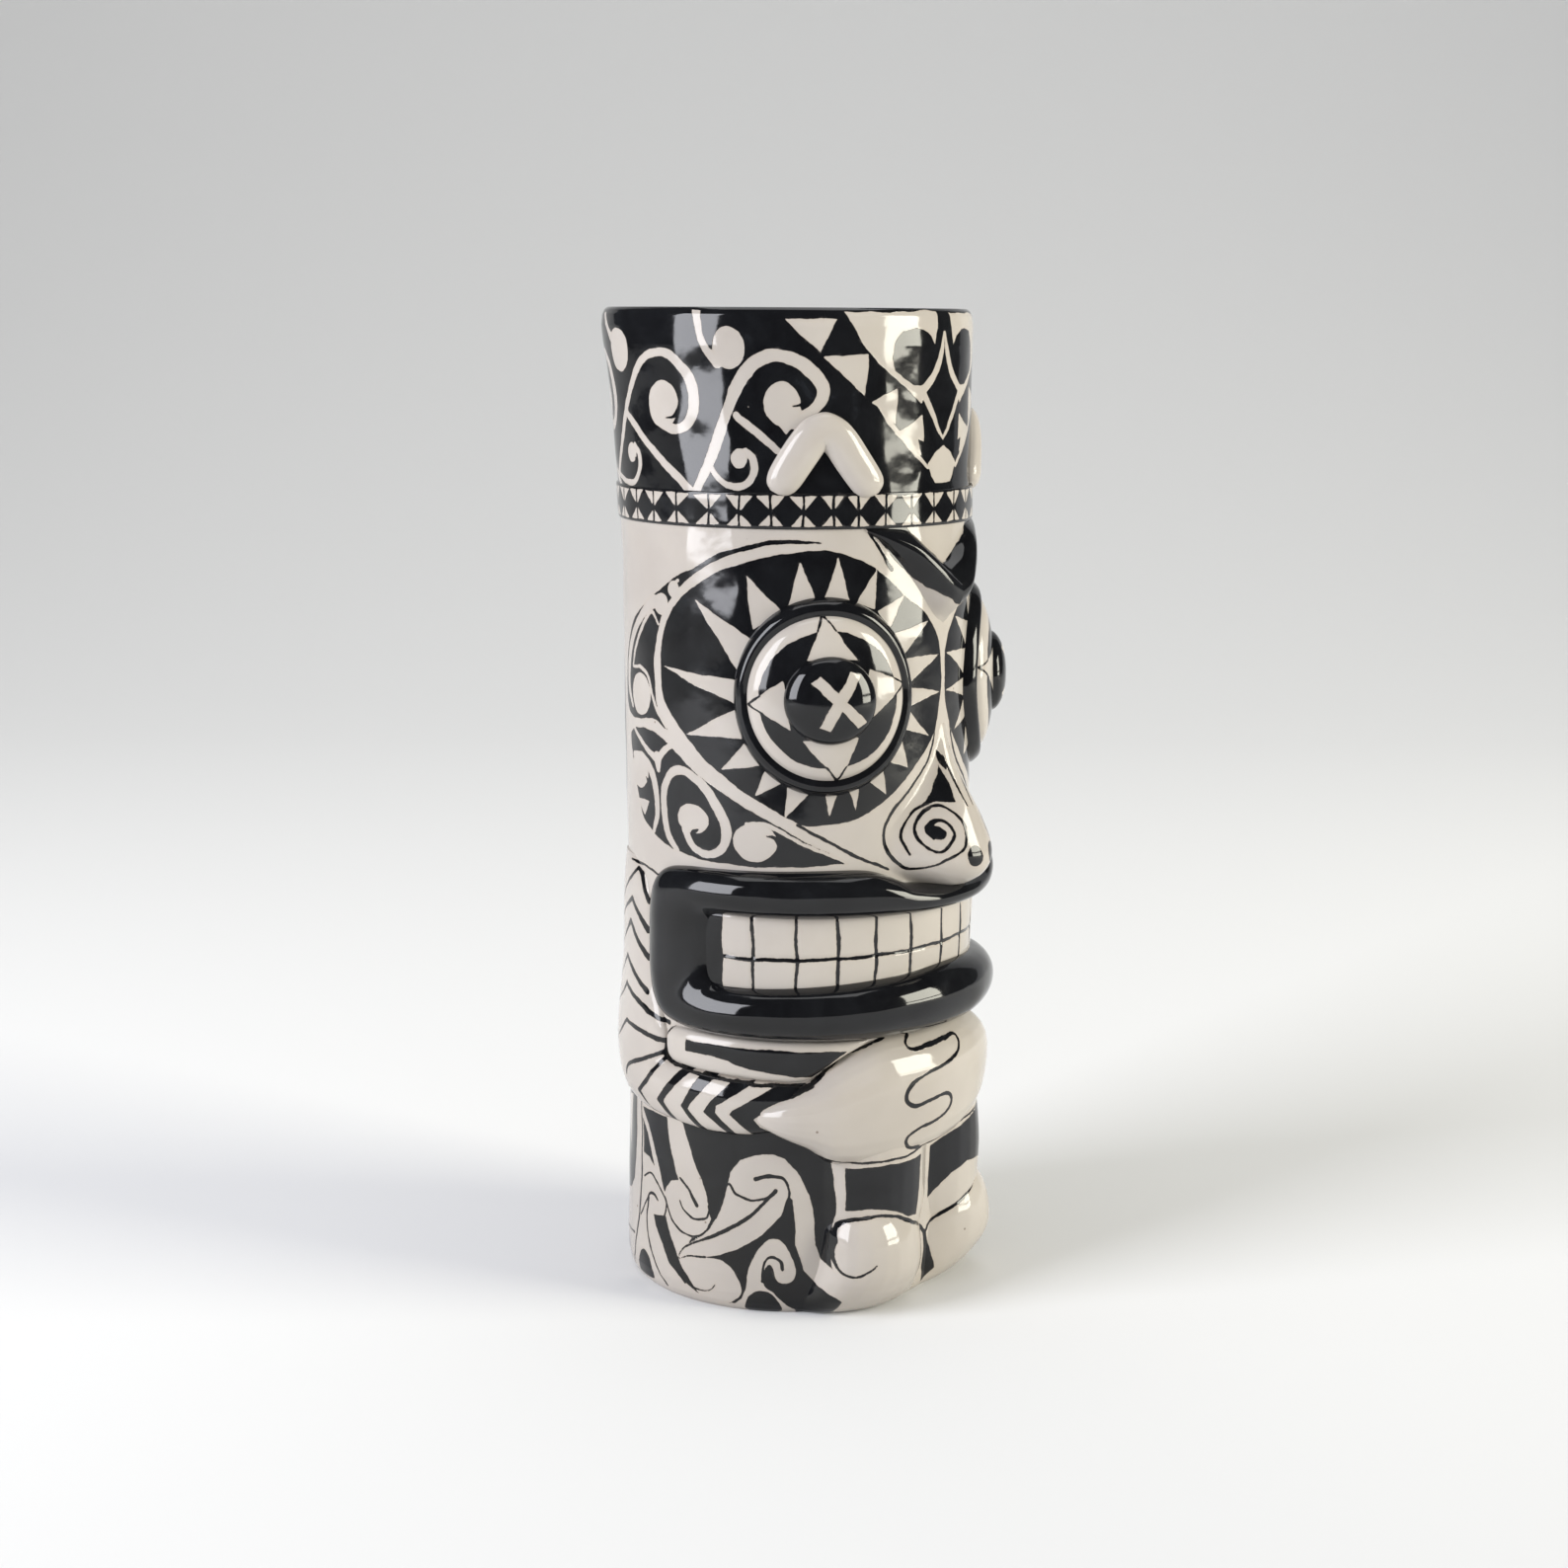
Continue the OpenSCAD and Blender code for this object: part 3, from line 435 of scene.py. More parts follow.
# eye field with its ring of teeth
poly(B, [(43.3, 154.3), (62.2, 152.8), (77.8, 149.4), (90, 144.4), (97.8, 138.1), (99.8, 130), (97.8, 123.8), (90, 118.1), (77.8, 111.3), (62.2, 105), (51.1, 101.3), (45.6, 100.9),
         (34.4, 101.9), (23.3, 105.6), (12.2, 111.9), (4.8, 117.5), (1.2, 125), (1.7, 134.4), (7.0, 140.2), (17.8, 145.6), (28.9, 151.3)], smooth=True)
for t in (
    (84.8, 144.4, 67.2, 138.1, 70.6, 130.3), (67.2, 149.7, 66.7, 139.7, 56.7, 143.4), (50.6, 152.5, 55.6, 143.8, 45.8, 145.3), (39.2, 153.3, 43.8, 145.6, 35.2, 145.6),
    (26.9, 150.6, 33.3, 145.3, 26.7, 143.9), (16.9, 145.6, 25.6, 143.4, 20.9, 140), (7.4, 139.9, 20, 138.8, 15.8, 134.1), (2.1, 133.1, 15.6, 133.4, 13.3, 128.1),
    (1.4, 125.6, 13.3, 127.2, 13.3, 123.3), (7, 117, 13.6, 122.5, 16.1, 118.8), (17.8, 116.9, 14.1, 110.5, 23.9, 112.5), (23.6, 106.3, 24.4, 111.9, 31.1, 109.1),
    (33.9, 103.9, 32.2, 108.4, 36.1, 107.8), (42.4, 102.5, 38.7, 106.9, 43.6, 106.9), (55.3, 102.6, 47.2, 106.9, 55.6, 108.1), (64.7, 106.6, 56.1, 108.4, 62.2, 111.3),
    (75.8, 111.3, 69.4, 116.3, 63.3, 111.9), (88.3, 117.7, 72, 123.4, 70.2, 117.2), (98.3, 130.6, 71.4, 129.3, 72.2, 124.4),
):
    q = np.array(t).reshape(3, 2)
    c = q[1:].mean(0)
    e = np.array([EYE_A, EYE_Z])
    q[1:] += (e - q[1:]) * 0.06
    poly(W, [tuple(q[0]), tuple(q[1]), tuple(q[2])])
line(B, [(30.2, 158.4, 0.5), (26.2, 154.2, 0.6), (22, 150.4, 0.9)])
# brow
poly(B, [(31, 158.6), (29.8, 157.8), (25.4, 155.3), (20.1, 151.8), (15, 148.9), (10.3, 146.6), (5.5, 144.7), (1.5, 143.3), (-1, 142.9), (-1, 151.0), (0.6, 151.1), (3, 152.0), (7, 153.6), (12.6, 156.0), (17, 158.6)])
# nose
line(B, [(3.6, 120, 0.4), (5, 116.3, 0.5), (7.8, 111.9, 0.6), (14.4, 107.5, 0.6), (21.7, 103.1, 0.6), (24.8, 99.1, 0.7), (23.9, 95.3, 0.7), (20.6, 92.5, 0.6), (16.7, 91.5, 0.6), (12.2, 92.2, 0.5),
         (10, 93.4, 0.5), (6.7, 95, 0.5), (5, 97.5, 0.5), (4.7, 100.6, 0.5), (6.7, 103, 0.5), (8.9, 103.6, 0.5), (12.8, 102.2, 0.5), (15.6, 99.7, 0.5), (15.3, 96.9, 0.5), (12.2, 94.9, 0.5), (10, 95.6, 0.5),
         (7.8, 98.1, 0.5), (8.3, 100.3, 0.6), (10.6, 100.8, 0.8), (13, 99.1, 0.8), (12.4, 97.4, 0.4)])
blob(B, (11.1, 98.5), 1.8, 1.3)
poly(B, [(4.2, 111.2), (6.3, 108.6), (9, 105.8), (12.2, 103.3), (8.4, 104.3), (3.9, 104.1), (3.7, 107.5)])
line(B, [(11, 104, 0.5), (15.6, 102.3, 0.5), (19.4, 98.6, 0.5), (19.1, 96.3, 0.5), (18.1, 94.4, 0.35)])
poly(B, [(3.9, 114.2), (2.5, 113), (2.3, 111.2), (2.9, 110.2), (3.9, 111.8)], smooth=True)
line(B, [(2.4, 113, 0.3), (1.8, 107, 0.5), (1.2, 103.2, 0.3)])
blob(B, (3.4, 93.8), 2.2, 2.1)
# sleeve stripes
for s in (
    [(138, 77, 0.3), (127, 82.9, 0.6), (116.1, 88.3, 0.8), (113.3, 87.2, 1.1), (108.6, 82, 1.1)], [(138, 73, 0.3), (127.2, 78.6, 0.6), (118.9, 81.7, 1.1), (108.6, 76.1, 1.4)],
    [(138, 68, 0.3), (127.2, 72.9, 0.6), (120.5, 76.8, 1.1), (108.6, 70.4, 1.4)], [(138, 61.5, 0.3), (127.2, 66.5, 0.6), (123.1, 69.2, 1.0), (108.6, 63.4, 1.2)],
    [(139, 56, 0.3), (126.7, 60.8, 0.6), (122.8, 63.4, 1.0), (106.7, 59.8, 1.1), (98.3, 58.3, 1.0)], [(139, 48, 0.3), (126.1, 52.6, 0.6), (120, 56.2, 0.9), (98.7, 54.5, 1.1)],
):
    line(B, s, smooth=False)
line(B, [(122.5, 89.4, 0.4), (113.3, 89.2, 0.5), (103.3, 88.2, 0.4)])
line(B, [(98.6, 52.4, 0.9), (108, 49.6, 0.9), (117.2, 47.2, 0.9), (119.2, 44.8, 0.7)])
line(B, [(98, 51.4, 0.8), (105.6, 45.4, 1.1), (110, 42.8, 1.0), (104.5, 39.9, 0.4), (100, 38.4, 0.4)], smooth=False)
for s in (
    [(90, 50.4), (86, 50.4), (95.6, 43.4), (96.6, 42.5), (91.2, 37.8), (93.1, 37.8), (99.7, 42.6), (98.6, 43.5)],
    [(82.4, 50.2), (76.6, 50.2), (85.9, 43.3), (86.4, 42.4), (79.3, 37.2), (82, 37.2), (89.3, 42.6), (88.2, 43.7)],
    [(71.7, 49.3), (64.6, 49.3), (76.2, 44), (76.5, 42.4), (69, 37.2), (71.8, 37.2), (80.6, 42.4), (79, 44.2)],
    [(57.2, 48.8), (46, 48.8), (48, 48.3), (55.6, 45.9), (62.2, 43.9), (63.2, 42.6), (60, 39.4), (53, 37.4), (46, 35), (41, 33.4), (52, 33.8), (62, 36.6), (66, 38.8), (72.2, 42.6), (70.8, 43.6), (64.4, 46.2)],
):
    poly(B, s)
# chest panel
poly(B, [(88, 56.3), (60, 56.1), (36.5, 55.6), (39.5, 54.2), (44, 51.8), (46.2, 50.6), (52, 50.7), (60, 51.2), (68, 52.2), (73.3, 53.2), (80, 53.9), (88.4, 54)])
line(B, [(94.7, 58, 0.4), (97.6, 56, 0.5), (98.9, 53.6, 0.5), (98.3, 51.2, 0.6), (96.1, 50.3, 0.5), (89.4, 49.8, 0.5), (68.9, 48.8, 0.6), (57, 48.5, 0.7), (50, 48.6, 0.7), (47, 49.2, 0.6), (42.2, 51.8, 0.5),
         (36.1, 54.7, 0.5), (28.9, 56.2, 0.4), (23.3, 57.2, 0.4)])
line(B, [(63.3, 42.7, 0.5), (62.2, 44, 0.5), (55.6, 46.4, 0.5), (47.8, 48.8, 0.5)])
line(B, [(63.3, 41.9, 0.4), (60, 39.5, 0.5), (53.3, 37.5, 0.5), (45.6, 34.7, 0.5), (41.1, 33.4, 0.5), (34, 33.1, 0.4), (24, 33.3, 0.4), (14, 33.8, 0.4), (6, 34.2, 0.4), (-1, 34.4, 0.4)])
# lower wall: black ground with curling leaves
poly(B, [(92.4, 38.2), (41.4, 38.2), (41.2, 33.4), (39.4, 29), (38.6, 21.5), (39.8, 17.5), (40.2, 14), (39, 10), (36.5, 9.4), (36, 4.2), (40, -1), (69, -1), (82, 2), (93, 9), (84, 18), (81, 22), (88, 31)])
poly(W, [(100.6, 38), (92.4, 38), (88, 31.5), (84, 26.6), (81.6, 23.2), (81.1, 20.6), (80, 18.6), (84, 14.6), (90, 14.2), (96, 15.6), (100.6, 19.6), (101.1, 21.9), (99.5, 23.8), (96.5, 25.2), (93.9, 25.5),
         (96, 28.2), (98.5, 32)])
poly(B, [(116.3, 38), (100.3, 38), (98, 31.5), (95.6, 27.6), (93.9, 25.5), (97.5, 25), (99.6, 23.6), (101.1, 21.9), (103.3, 25.4), (107.8, 31.1), (112, 34.8)])
poly(B, [(116.2, 35.4), (112.5, 32.8), (109.6, 29.6), (107.4, 26.4), (110.8, 27.9), (115.2, 28.3)])
poly(B, [(107.2, 16.1), (104, 16.6), (100, 17), (97.8, 13.3), (92.8, 8.3), (87, 4.6), (82, 2.7), (82.4, 2), (91, 3.8), (97.8, 7.2), (103.3, 12), (105.5, 14)])
poly(B, [(119.4, 2.1), (118.4, 5.2), (115.7, 7.1), (112.5, 7.3), (109.5, 5.6), (107.6, 2.1), (113.4, 1.6)], smooth=True)
line(B, [(117.6, 39, 0.5), (116.8, 30, 0.6), (116.7, 22.6, 0.7), (118.3, 14, 0.7), (122.2, 6.1, 0.6), (127, 1.5, 0.4)])
poly(W, [(80.6, 17.2), (78.3, 19.2), (76.1, 22.6), (74.3, 26.2), (73.6, 29.4), (70, 32.2), (65, 33.6), (59, 33.8), (55, 33), (51.1, 30.4), (46.7, 25.4), (44.9, 20), (44.4, 15), (42.6, 12), (38.3, 10.1),
         (33, 9.8), (33, 2.4), (37.2, 4.3), (43.3, 6.5), (47.8, 9.7), (50.8, 15), (51.3, 20), (52.2, 24.6), (53.7, 25.2), (55.8, 21), (62.2, 16.8), (71.1, 13.2), (76.7, 11.6), (82.2, 10.7),
         (88, 9.2), (93.2, 9), (90, 12.4), (84, 14.8)])
poly(W, [(92.8, 8.5), (88, 10.4), (82.2, 10.7), (76.7, 10.6), (72.2, 9.3), (69.4, 6.9), (68.8, 4.2), (72, 2), (77.8, 0.9), (83.3, 1.8), (87.5, 4.3)], smooth=True)
poly(W, [(98, -1), (67.3, -1), (68.4, 3.2), (71, 1.6), (77.8, 0.9), (83.3, 1.8), (90, 4)])
line(B, [(93.3, 26, 0.5), (90, 24.4, 0.6), (87.6, 22.6, 0.7), (85.8, 21.3, 0.9)])
line(B, [(93.4, 21.2, 0.35), (91.1, 19.4, 0.4), (86.7, 18.3, 0.45), (82.2, 19, 0.45), (80.9, 20.6, 0.4)])
line(B, [(101, 21, 0.5), (97.2, 16.9, 0.5), (92.2, 14.7, 0.5), (86.7, 14.6, 0.55), (82.2, 16.1, 0.55), (79.4, 19.4, 0.6)])
line(B, [(78.5, 19.4, 0.5), (76.1, 22.7, 0.5), (74, 26.9, 0.5), (71.1, 25.1, 0.5), (66.1, 24.1, 0.5), (61.1, 24.6, 0.5), (58, 26.1, 0.7)])
line(B, [(58, 26.2, 0.9), (62, 23.4, 0.7), (66.7, 20.4, 0.8), (75.6, 16.6, 0.9), (86.7, 13.2, 0.5), (91.7, 11.1, 0.4), (93.4, 8.7, 0.4), (92.2, 6.1, 0.4), (87.8, 3.7, 0.35), (82.2, 3.4, 0.35), (79.4, 4, 0.35), (78, 5.1, 0.3)])
line(B, [(64.4, 28.6, 1.1), (60, 29.2, 0.8), (55.6, 28.8, 0.6), (53.6, 26.4, 0.5), (53.4, 24.6, 0.5)])
line(B, [(93.4, 8.7, 0.3), (88, 10.2, 0.35), (82.2, 10.7, 0.5)])
line(B, [(114.6, 23.3, 0.4), (110, 24.6, 0.45), (105.6, 23.4, 0.5), (101.1, 20.8, 0.5), (100.2, 19, 0.5), (101.1, 16.7, 0.5), (104.4, 16.1, 0.5)])
line(B, [(116.8, 14.6, 0.45), (112.2, 18.3, 0.5), (110, 20.1, 0.6), (107, 20.4, 0.7), (105, 19.6, 0.5)])
line(B, [(110.6, 19.2, 0.6), (111.8, 14.7, 0.6), (109.4, 9, 0.5), (104.4, 4.7, 0.45), (100, 2, 0.4)])
poly(W, [(68.6, 2.6), (67.2, 5.4), (66.3, 9), (63.4, 13.6), (59, 16.1), (54.4, 15.1), (51.7, 11.9), (50.5, 9), (51.7, 7.3), (55, 6.8), (57.2, 7.8), (58.2, 10), (59.4, 10.7), (60.9, 9.2), (61, 6.4), (59.5, 5.2),
         (63, 4.6), (66, 3.6)], smooth=True)
line(B, [(61.5, 7, 0.6), (61.4, 9.5, 0.5), (59.9, 11.8, 0.5), (57.6, 12.2, 0.5), (55.4, 11.3, 0.6), (55, 9.8, 0.8)])
poly(W, [(68.5, -1), (68.5, 3.5), (61.5, 6), (57.8, 4.8), (53, 1.9), (50, 0.9), (49, -1)])
poly(B, [(67, 0.4), (66.5, 3), (64.2, 4.6), (60.4, 4.9), (56.8, 3.5), (55, 0.4), (61, -0.4)], smooth=True)
# feet and legs
poly(W, [(40.2, 12), (40.1, 15), (39.5, 17.2), (38.7, 20), (38.6, 22), (38.9, 27), (40.4, 33), (41, 33.9), (-1, 34.6), (-1, -1), (38.5, -1), (36.8, 4.1), (41, 5.8), (39.6, 10)])
poly(B, [(36.7, 31.7), (24, 32), (11.1, 32.2), (12.8, 19.9), (16.7, 20.3), (22.2, 22.1), (28.9, 23.2), (36.4, 22.8)])
poly(W, [(-0.5, 33.8), (-14, 34.6), (-24, 37.4), (-40, 38.4), (-39, 22.4), (-34, 22), (-28, 22), (-14, 19), (-0.5, 14)], both=False)
poly(B, [(-0.6, 31.2), (-7, 33.4), (-16, 35.8), (-28, 37.6), (-38.4, 38.4), (-37.6, 22.8), (-30, 24), (-22, 25.6), (-14, 26.4), (-8, 24.6), (-3, 21.6), (-0.5, 19.8)], both=False)
line(B, [(29.4, 12.3, 0.3), (30.6, 11.5, 0.35), (33.3, 10.4, 0.4), (35.6, 10.1, 0.5), (37.8, 10.7, 0.5), (39.4, 12.4, 0.6), (40, 14.7, 0.7), (39.4, 16.7, 0.7), (38.7, 19, 0.7), (36.1, 20.7, 0.7),
         (28.9, 21.5, 0.6), (22.2, 21, 0.7), (16.7, 19.4, 0.8), (10, 16.9, 0.7), (3.3, 14.8, 0.8), (0.8, 13.2, 0.9)])
poly(B, [(2, 14.4), (-0.6, 13.3), (-2.2, 9.7), (-5.3, 4.1), (-1.1, 1.5), (0.6, 5.4), (0.2, 9.7)], both=False)
poly(W, [(64.8, 41.9), (62.8, 40.2), (59, 38.7), (54, 37.1), (48, 35.4), (44.5, 34.0), (41, 33.0), (34, 32.8), (27, 32.7), (18, 33.1), (9, 33.8), (-1, 34.2), (-1, 50), (27, 52), (41, 50), (48, 48), (54, 46), (59, 44.6)], both=False)
poly(W, [(-64.8, 42.3), (-59, 40.6), (-48, 38.6), (-41, 37.9), (-34, 38.2), (-24, 37.4), (-14, 36), (-6, 34.8), (1, 34.2), (1, 50), (-27, 52), (-41, 50), (-48, 48), (-59, 44.6)], both=False)
line(B, [(45, 34.4, 0.35), (41, 33.4, 0.45), (34, 32.9, 0.5), (27, 32.8, 0.5), (18, 33.2, 0.45), (9, 33.9, 0.45), (0, 34.2, 0.4), (-6, 34.8, 0.4), (-14, 36.0, 0.4), (-24, 37.3, 0.4), (-34, 38.1, 0.4)], both=False)
# fingers
line(B, [(14.4, 57.1, 0.5), (17.2, 55.9, 0.6), (16.2, 54.8, 0.7), (12.2, 54.6, 0.8), (4, 55, 0.8), (-2.2, 55.3, 0.7), (-4.4, 54.7, 0.7), (-3.4, 53, 0.7), (-0.2, 51.7, 0.7), (6.7, 50.4, 0.7), (14.4, 49.5, 0.7),
         (18.2, 48.5, 0.8), (20.2, 46.6, 0.9), (19.8, 44.8, 0.9), (17, 43.7, 0.9), (12, 44, 0.8), (6.7, 44.5, 0.7), (3.6, 44.2, 0.7), (2.1, 42.7, 0.7), (3.2, 40.8, 0.7), (7.8, 39.3, 0.7), (14, 38.7, 0.7),
         (18, 37.7, 0.7), (19, 36.4, 0.7), (17.8, 35, 0.7), (14.8, 34.3, 0.7), (12.6, 34.1, 0.6)], both=False)
# back, where nobody looks first: two big curls over a black ground, and a black panel under the elbows
poly(B, [(182, 152), (168, 150.5), (155, 146), (143, 139), (135, 130), (131.5, 120), (131.5, 110), (135, 101), (142, 95), (154, 91.5), (168, 90), (182, 89.6)], smooth=True)
line(W, [(181, 96, 4.0), (172, 97.5, 2.6), (160, 101, 2.2), (148, 107.5, 2.2), (141, 116, 2.4), (141, 125, 2.6), (148, 132.5, 2.8), (158, 135, 2.8), (167, 132, 2.6), (170.5, 125.5, 2.4), (167, 119, 2.2),
         (160, 117.5, 2.0), (155.5, 121, 1.8), (157, 124.8, 1.6)])
blob(W, (160.5, 123.6), 4.6, 3.0)
line(W, [(181, 147.5, 2.2), (172, 143.4, 1.8), (162, 141, 1.2), (152, 138.5, 0.6)])
line(W, [(181, 140.5, 1.6), (176.5, 134, 1.4), (175, 126, 1.4), (175.5, 116, 1.3), (177.5, 106, 1.1)])
poly(W, [(172.5, 113.5), (162, 112.5), (150, 116.5), (158, 109), (168, 107)])
for o in (136, 146.5, 157, 167.5):
    poly(W, [(o, 152.8 - 0.02 * (o - 180) ** 2 * 0.17), (o + 3.4, 147.4), (o - 3.4, 147.0)]) if o > 150 else None
poly(B, [(122.6, 41), (122, 33), (122.4, 26), (124.6, 21), (129, 18.2), (138, 17), (155, 16.4), (182, 16.2), (182, 41)])
line(W, [(181, 19.6, 3.0), (170, 19.4, 2.2), (158, 20.4, 1.9), (147, 23.6, 1.9), (141, 29, 2.1), (144, 35, 2.2), (153, 37.4, 2.1), (160.5, 34.6, 1.8), (161, 30, 1.5), (155, 28.8, 1.3)])
blob(W, (153, 31.4), 4.2, 2.2)
line(W, [(181, 38, 1.6), (172, 34, 1.3), (168.5, 27.5, 1.1), (172, 22.5, 1.0)])
poly(W, [(128, 38.5), (136.5, 38.0), (131, 27)])
line(B, [(122.5, 9.4, 0.5), (140, 8.8, 0.6), (160, 9.6, 0.6), (182, 9.2, 0.6)])
for o in (134, 146, 158, 170, 182):
    poly(B, [(o - 4.6, 2.2), (o + 4.6, 2.2), (o, 7.4)])
# a plain arm and back between the elbows: two lines that carry the sleeves' edges across
line(B, [(150, 88, 0.4), (151, 75, 0.5), (152.5, 62, 0.5), (156, 52, 0.6), (160, 44, 0.5)])
poly(B, [(182, 84), (172, 82), (164, 76), (160, 66), (163, 56), (171, 49), (182, 46)], smooth=True)
line(W, [(181, 51.5, 2.0), (173, 55.5, 1.6), (169, 63, 1.6), (171.5, 71.5, 1.8), (178, 74.6, 1.8), (184, 73, 1.6)])
blob(W, (180, 64.5), 4.2, 3.2)

BLACK = [(B, "poly", np.array([[-200, -20], [200, -20], [200, 260], [-200, 260]], float))]
CREAM = []
EYE, PUPIL, TEETH, BAND = [], [], [], []


def into(group, fn, *args, **kw):
    n = len(ONE)
    fn(*args, both=False, **kw)
    group.extend(ONE[n:])
    del ONE[n:]


# eye, in the right side's own angles
into(EYE, blob, B, (EYE_A, EYE_Z), 13.3 * MME, 13.3)
for tip, b0, b1 in (((44.7, 142.4), (49.4, 133.9), (35.8, 133.9)), ((20.6, 128.6), (32.4, 132.1), (33.3, 121.9)), ((40.6, 109.9), (50.6, 118.4), (35.3, 119)), ((65.6, 125), (55.3, 130), (53.6, 120.5))):
    into(EYE, poly, W, [tip, b0, b1])
    for b in (b0, b1):
        d = (tip[0] - b[0], tip[1] - b[1])
        into(EYE, line, B, [(tip[0] - 0.36 * d[0], tip[1] - 0.36 * d[1], 0.35), (tip[0], tip[1], 0.5)])
    c = ((b0[0] + b1[0]) / 2, (b0[1] + b1[1]) / 2)
PUPIL.extend(BLACK)
into(PUPIL, bar, W, (47.6, 130.6), (35.6, 121.6), 1.9)
into(PUPIL, bar, W, (37.4, 131.6), (45.4, 120.9), 1.9)
for v in (77.6, 65.5, 52.3, 39.8, 27.9, 15.6, 2, -10.4, -23, -35.6, -48, -60.6, -73):
    into(TEETH, line, B, [(v + 0.3, 84, 0.6), (v, 79, 0.7), (v - 0.2, 74, 0.7), (v + 0.2, 67, 0.6)])
into(TEETH, line, B, [(82, 74.5, 0.6), (70, 74.2, 0.7), (60, 74.2, 0.75), (40, 74.4, 0.7), (20, 74.7, 0.7), (2, 75.0, 0.7), (-20, 75.0, 0.7), (-45, 74.6, 0.7), (-82, 74.4, 0.6)])
into(TEETH, line, B, [(80.2, 84, 0.8), (80.4, 76, 0.8), (80, 67, 0.8)])
into(TEETH, line, B, [(-80.2, 84, 0.8), (-80.4, 76, 0.8), (-80, 67, 0.8)])
# headband: black lozenges between hourglass pairs of cream
BAND.extend(BLACK)
DIV = [5.6, 15.2, 24.4, 33.3, 40.8, 49.8, 59.4, 69, 79, 91, 101.4, 111, 121.6, 132.2, 142.8, 153.4, 164, 174.8]
for i, d in enumerate(DIV):
    lo = (d - DIV[i - 1]) / 2 - 0.5 if i else 5
    hi = (DIV[i + 1] - d) / 2 - 0.5 if i + 1 < len(DIV) else 4.9
    for s in (1, -1):
        into(BAND, poly, W, [((d + hi) * s, 164.75), ((d - lo) * s, 164.75), (d * s, 161.7)])
        into(BAND, poly, W, [((d + hi - 0.4) * s, 158.95), ((d - lo + 0.4) * s, 158.95), (d * s, 161.5)])
        into(BAND, line, B, [(d * s, 166, 0.5), (d * s, 158, 0.5)])

# ---------------------------------------------------------------- meshes
def xyz(a, z, h):
    r = (R(a, z) + h) / 1000
    d = lean(z) / 1000
    return np.stack([-r * np.sin(a * DEG) + 0.5807 * d, -r * np.cos(a * DEG) - 0.8142 * d, z / 1000 + 0 * r], -1)


def make(name, verts, quads, ngons=(), values=None, material=None, nodes=(), sharp=None):
    """A mesh object from numpy arrays. values is the paint attribute, sharp the quads that are flat-shaded caps."""
    verts = np.asarray(verts, np.float32).reshape(-1, 3)
    quads = np.asarray(quads, np.int64).reshape(-1, 4)
    loops = [quads.ravel()] + [np.asarray(n) for n in ngons]
    totals = np.concatenate([np.full(len(quads), 4), np.array([len(n) for n in ngons], int)])
    starts = np.concatenate([[0], np.cumsum(totals)[:-1]])
    flat = np.concatenate(loops).astype(np.int32)
    me = bpy.data.meshes.new(name)
    me.vertices.add(len(verts))
    me.vertices.foreach_set("co", verts.ravel())
    me.loops.add(len(flat))
    me.loops.foreach_set("vertex_index", flat)
    me.polygons.add(len(totals))
    me.polygons.foreach_set("loop_start", starts.astype(np.int32))
    me.polygons.foreach_set("loop_total", totals.astype(np.int32))
    smooth = np.ones(len(totals), bool)
    smooth[len(quads):] = False
    if sharp is not None:
        smooth[np.asarray(sharp)] = False
    me.polygons.foreach_set("use_smooth", smooth)
    me.update(calc_edges=True)
    me.validate()
    if values is not None:
        at = me.attributes.new("paint", "FLOAT", "POINT")
        at.data.foreach_set("value", np.asarray(values, np.float32).ravel())
    # edges between a smooth face and a flat one are sharp, so a cap never bends the shading beside it
    n = len(me.edges)
    key = {}
    ed = np.zeros(n * 2, np.int32)
    me.edges.foreach_get("vertices", ed)
    le = np.zeros(len(me.loops), np.int32)
    me.loops.foreach_get("edge_index", le)
    fs = np.zeros(len(me.polygons), bool)
    me.polygons.foreach_get("use_smooth", fs)
    tot = np.zeros(len(me.polygons), np.int32)
    me.polygons.foreach_get("loop_total", tot)
    per = np.repeat(fs, tot)
    cnt = np.zeros(n, int)
    np.add.at(cnt, le, per.astype(int))
    edge_sharp = cnt < 2
    at = me.attributes.get("sharp_edge") or me.attributes.new("sharp_edge", "BOOLEAN", "EDGE")
    at.data.foreach_set("value", edge_sharp)
    ob = bpy.data.objects.new(name, me)
    bpy.context.scene.collection.objects.link(ob)
    if material:
        me.materials.append(material)
    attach(ob, "root")
    if nodes:
        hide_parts(*nodes)
    return ob


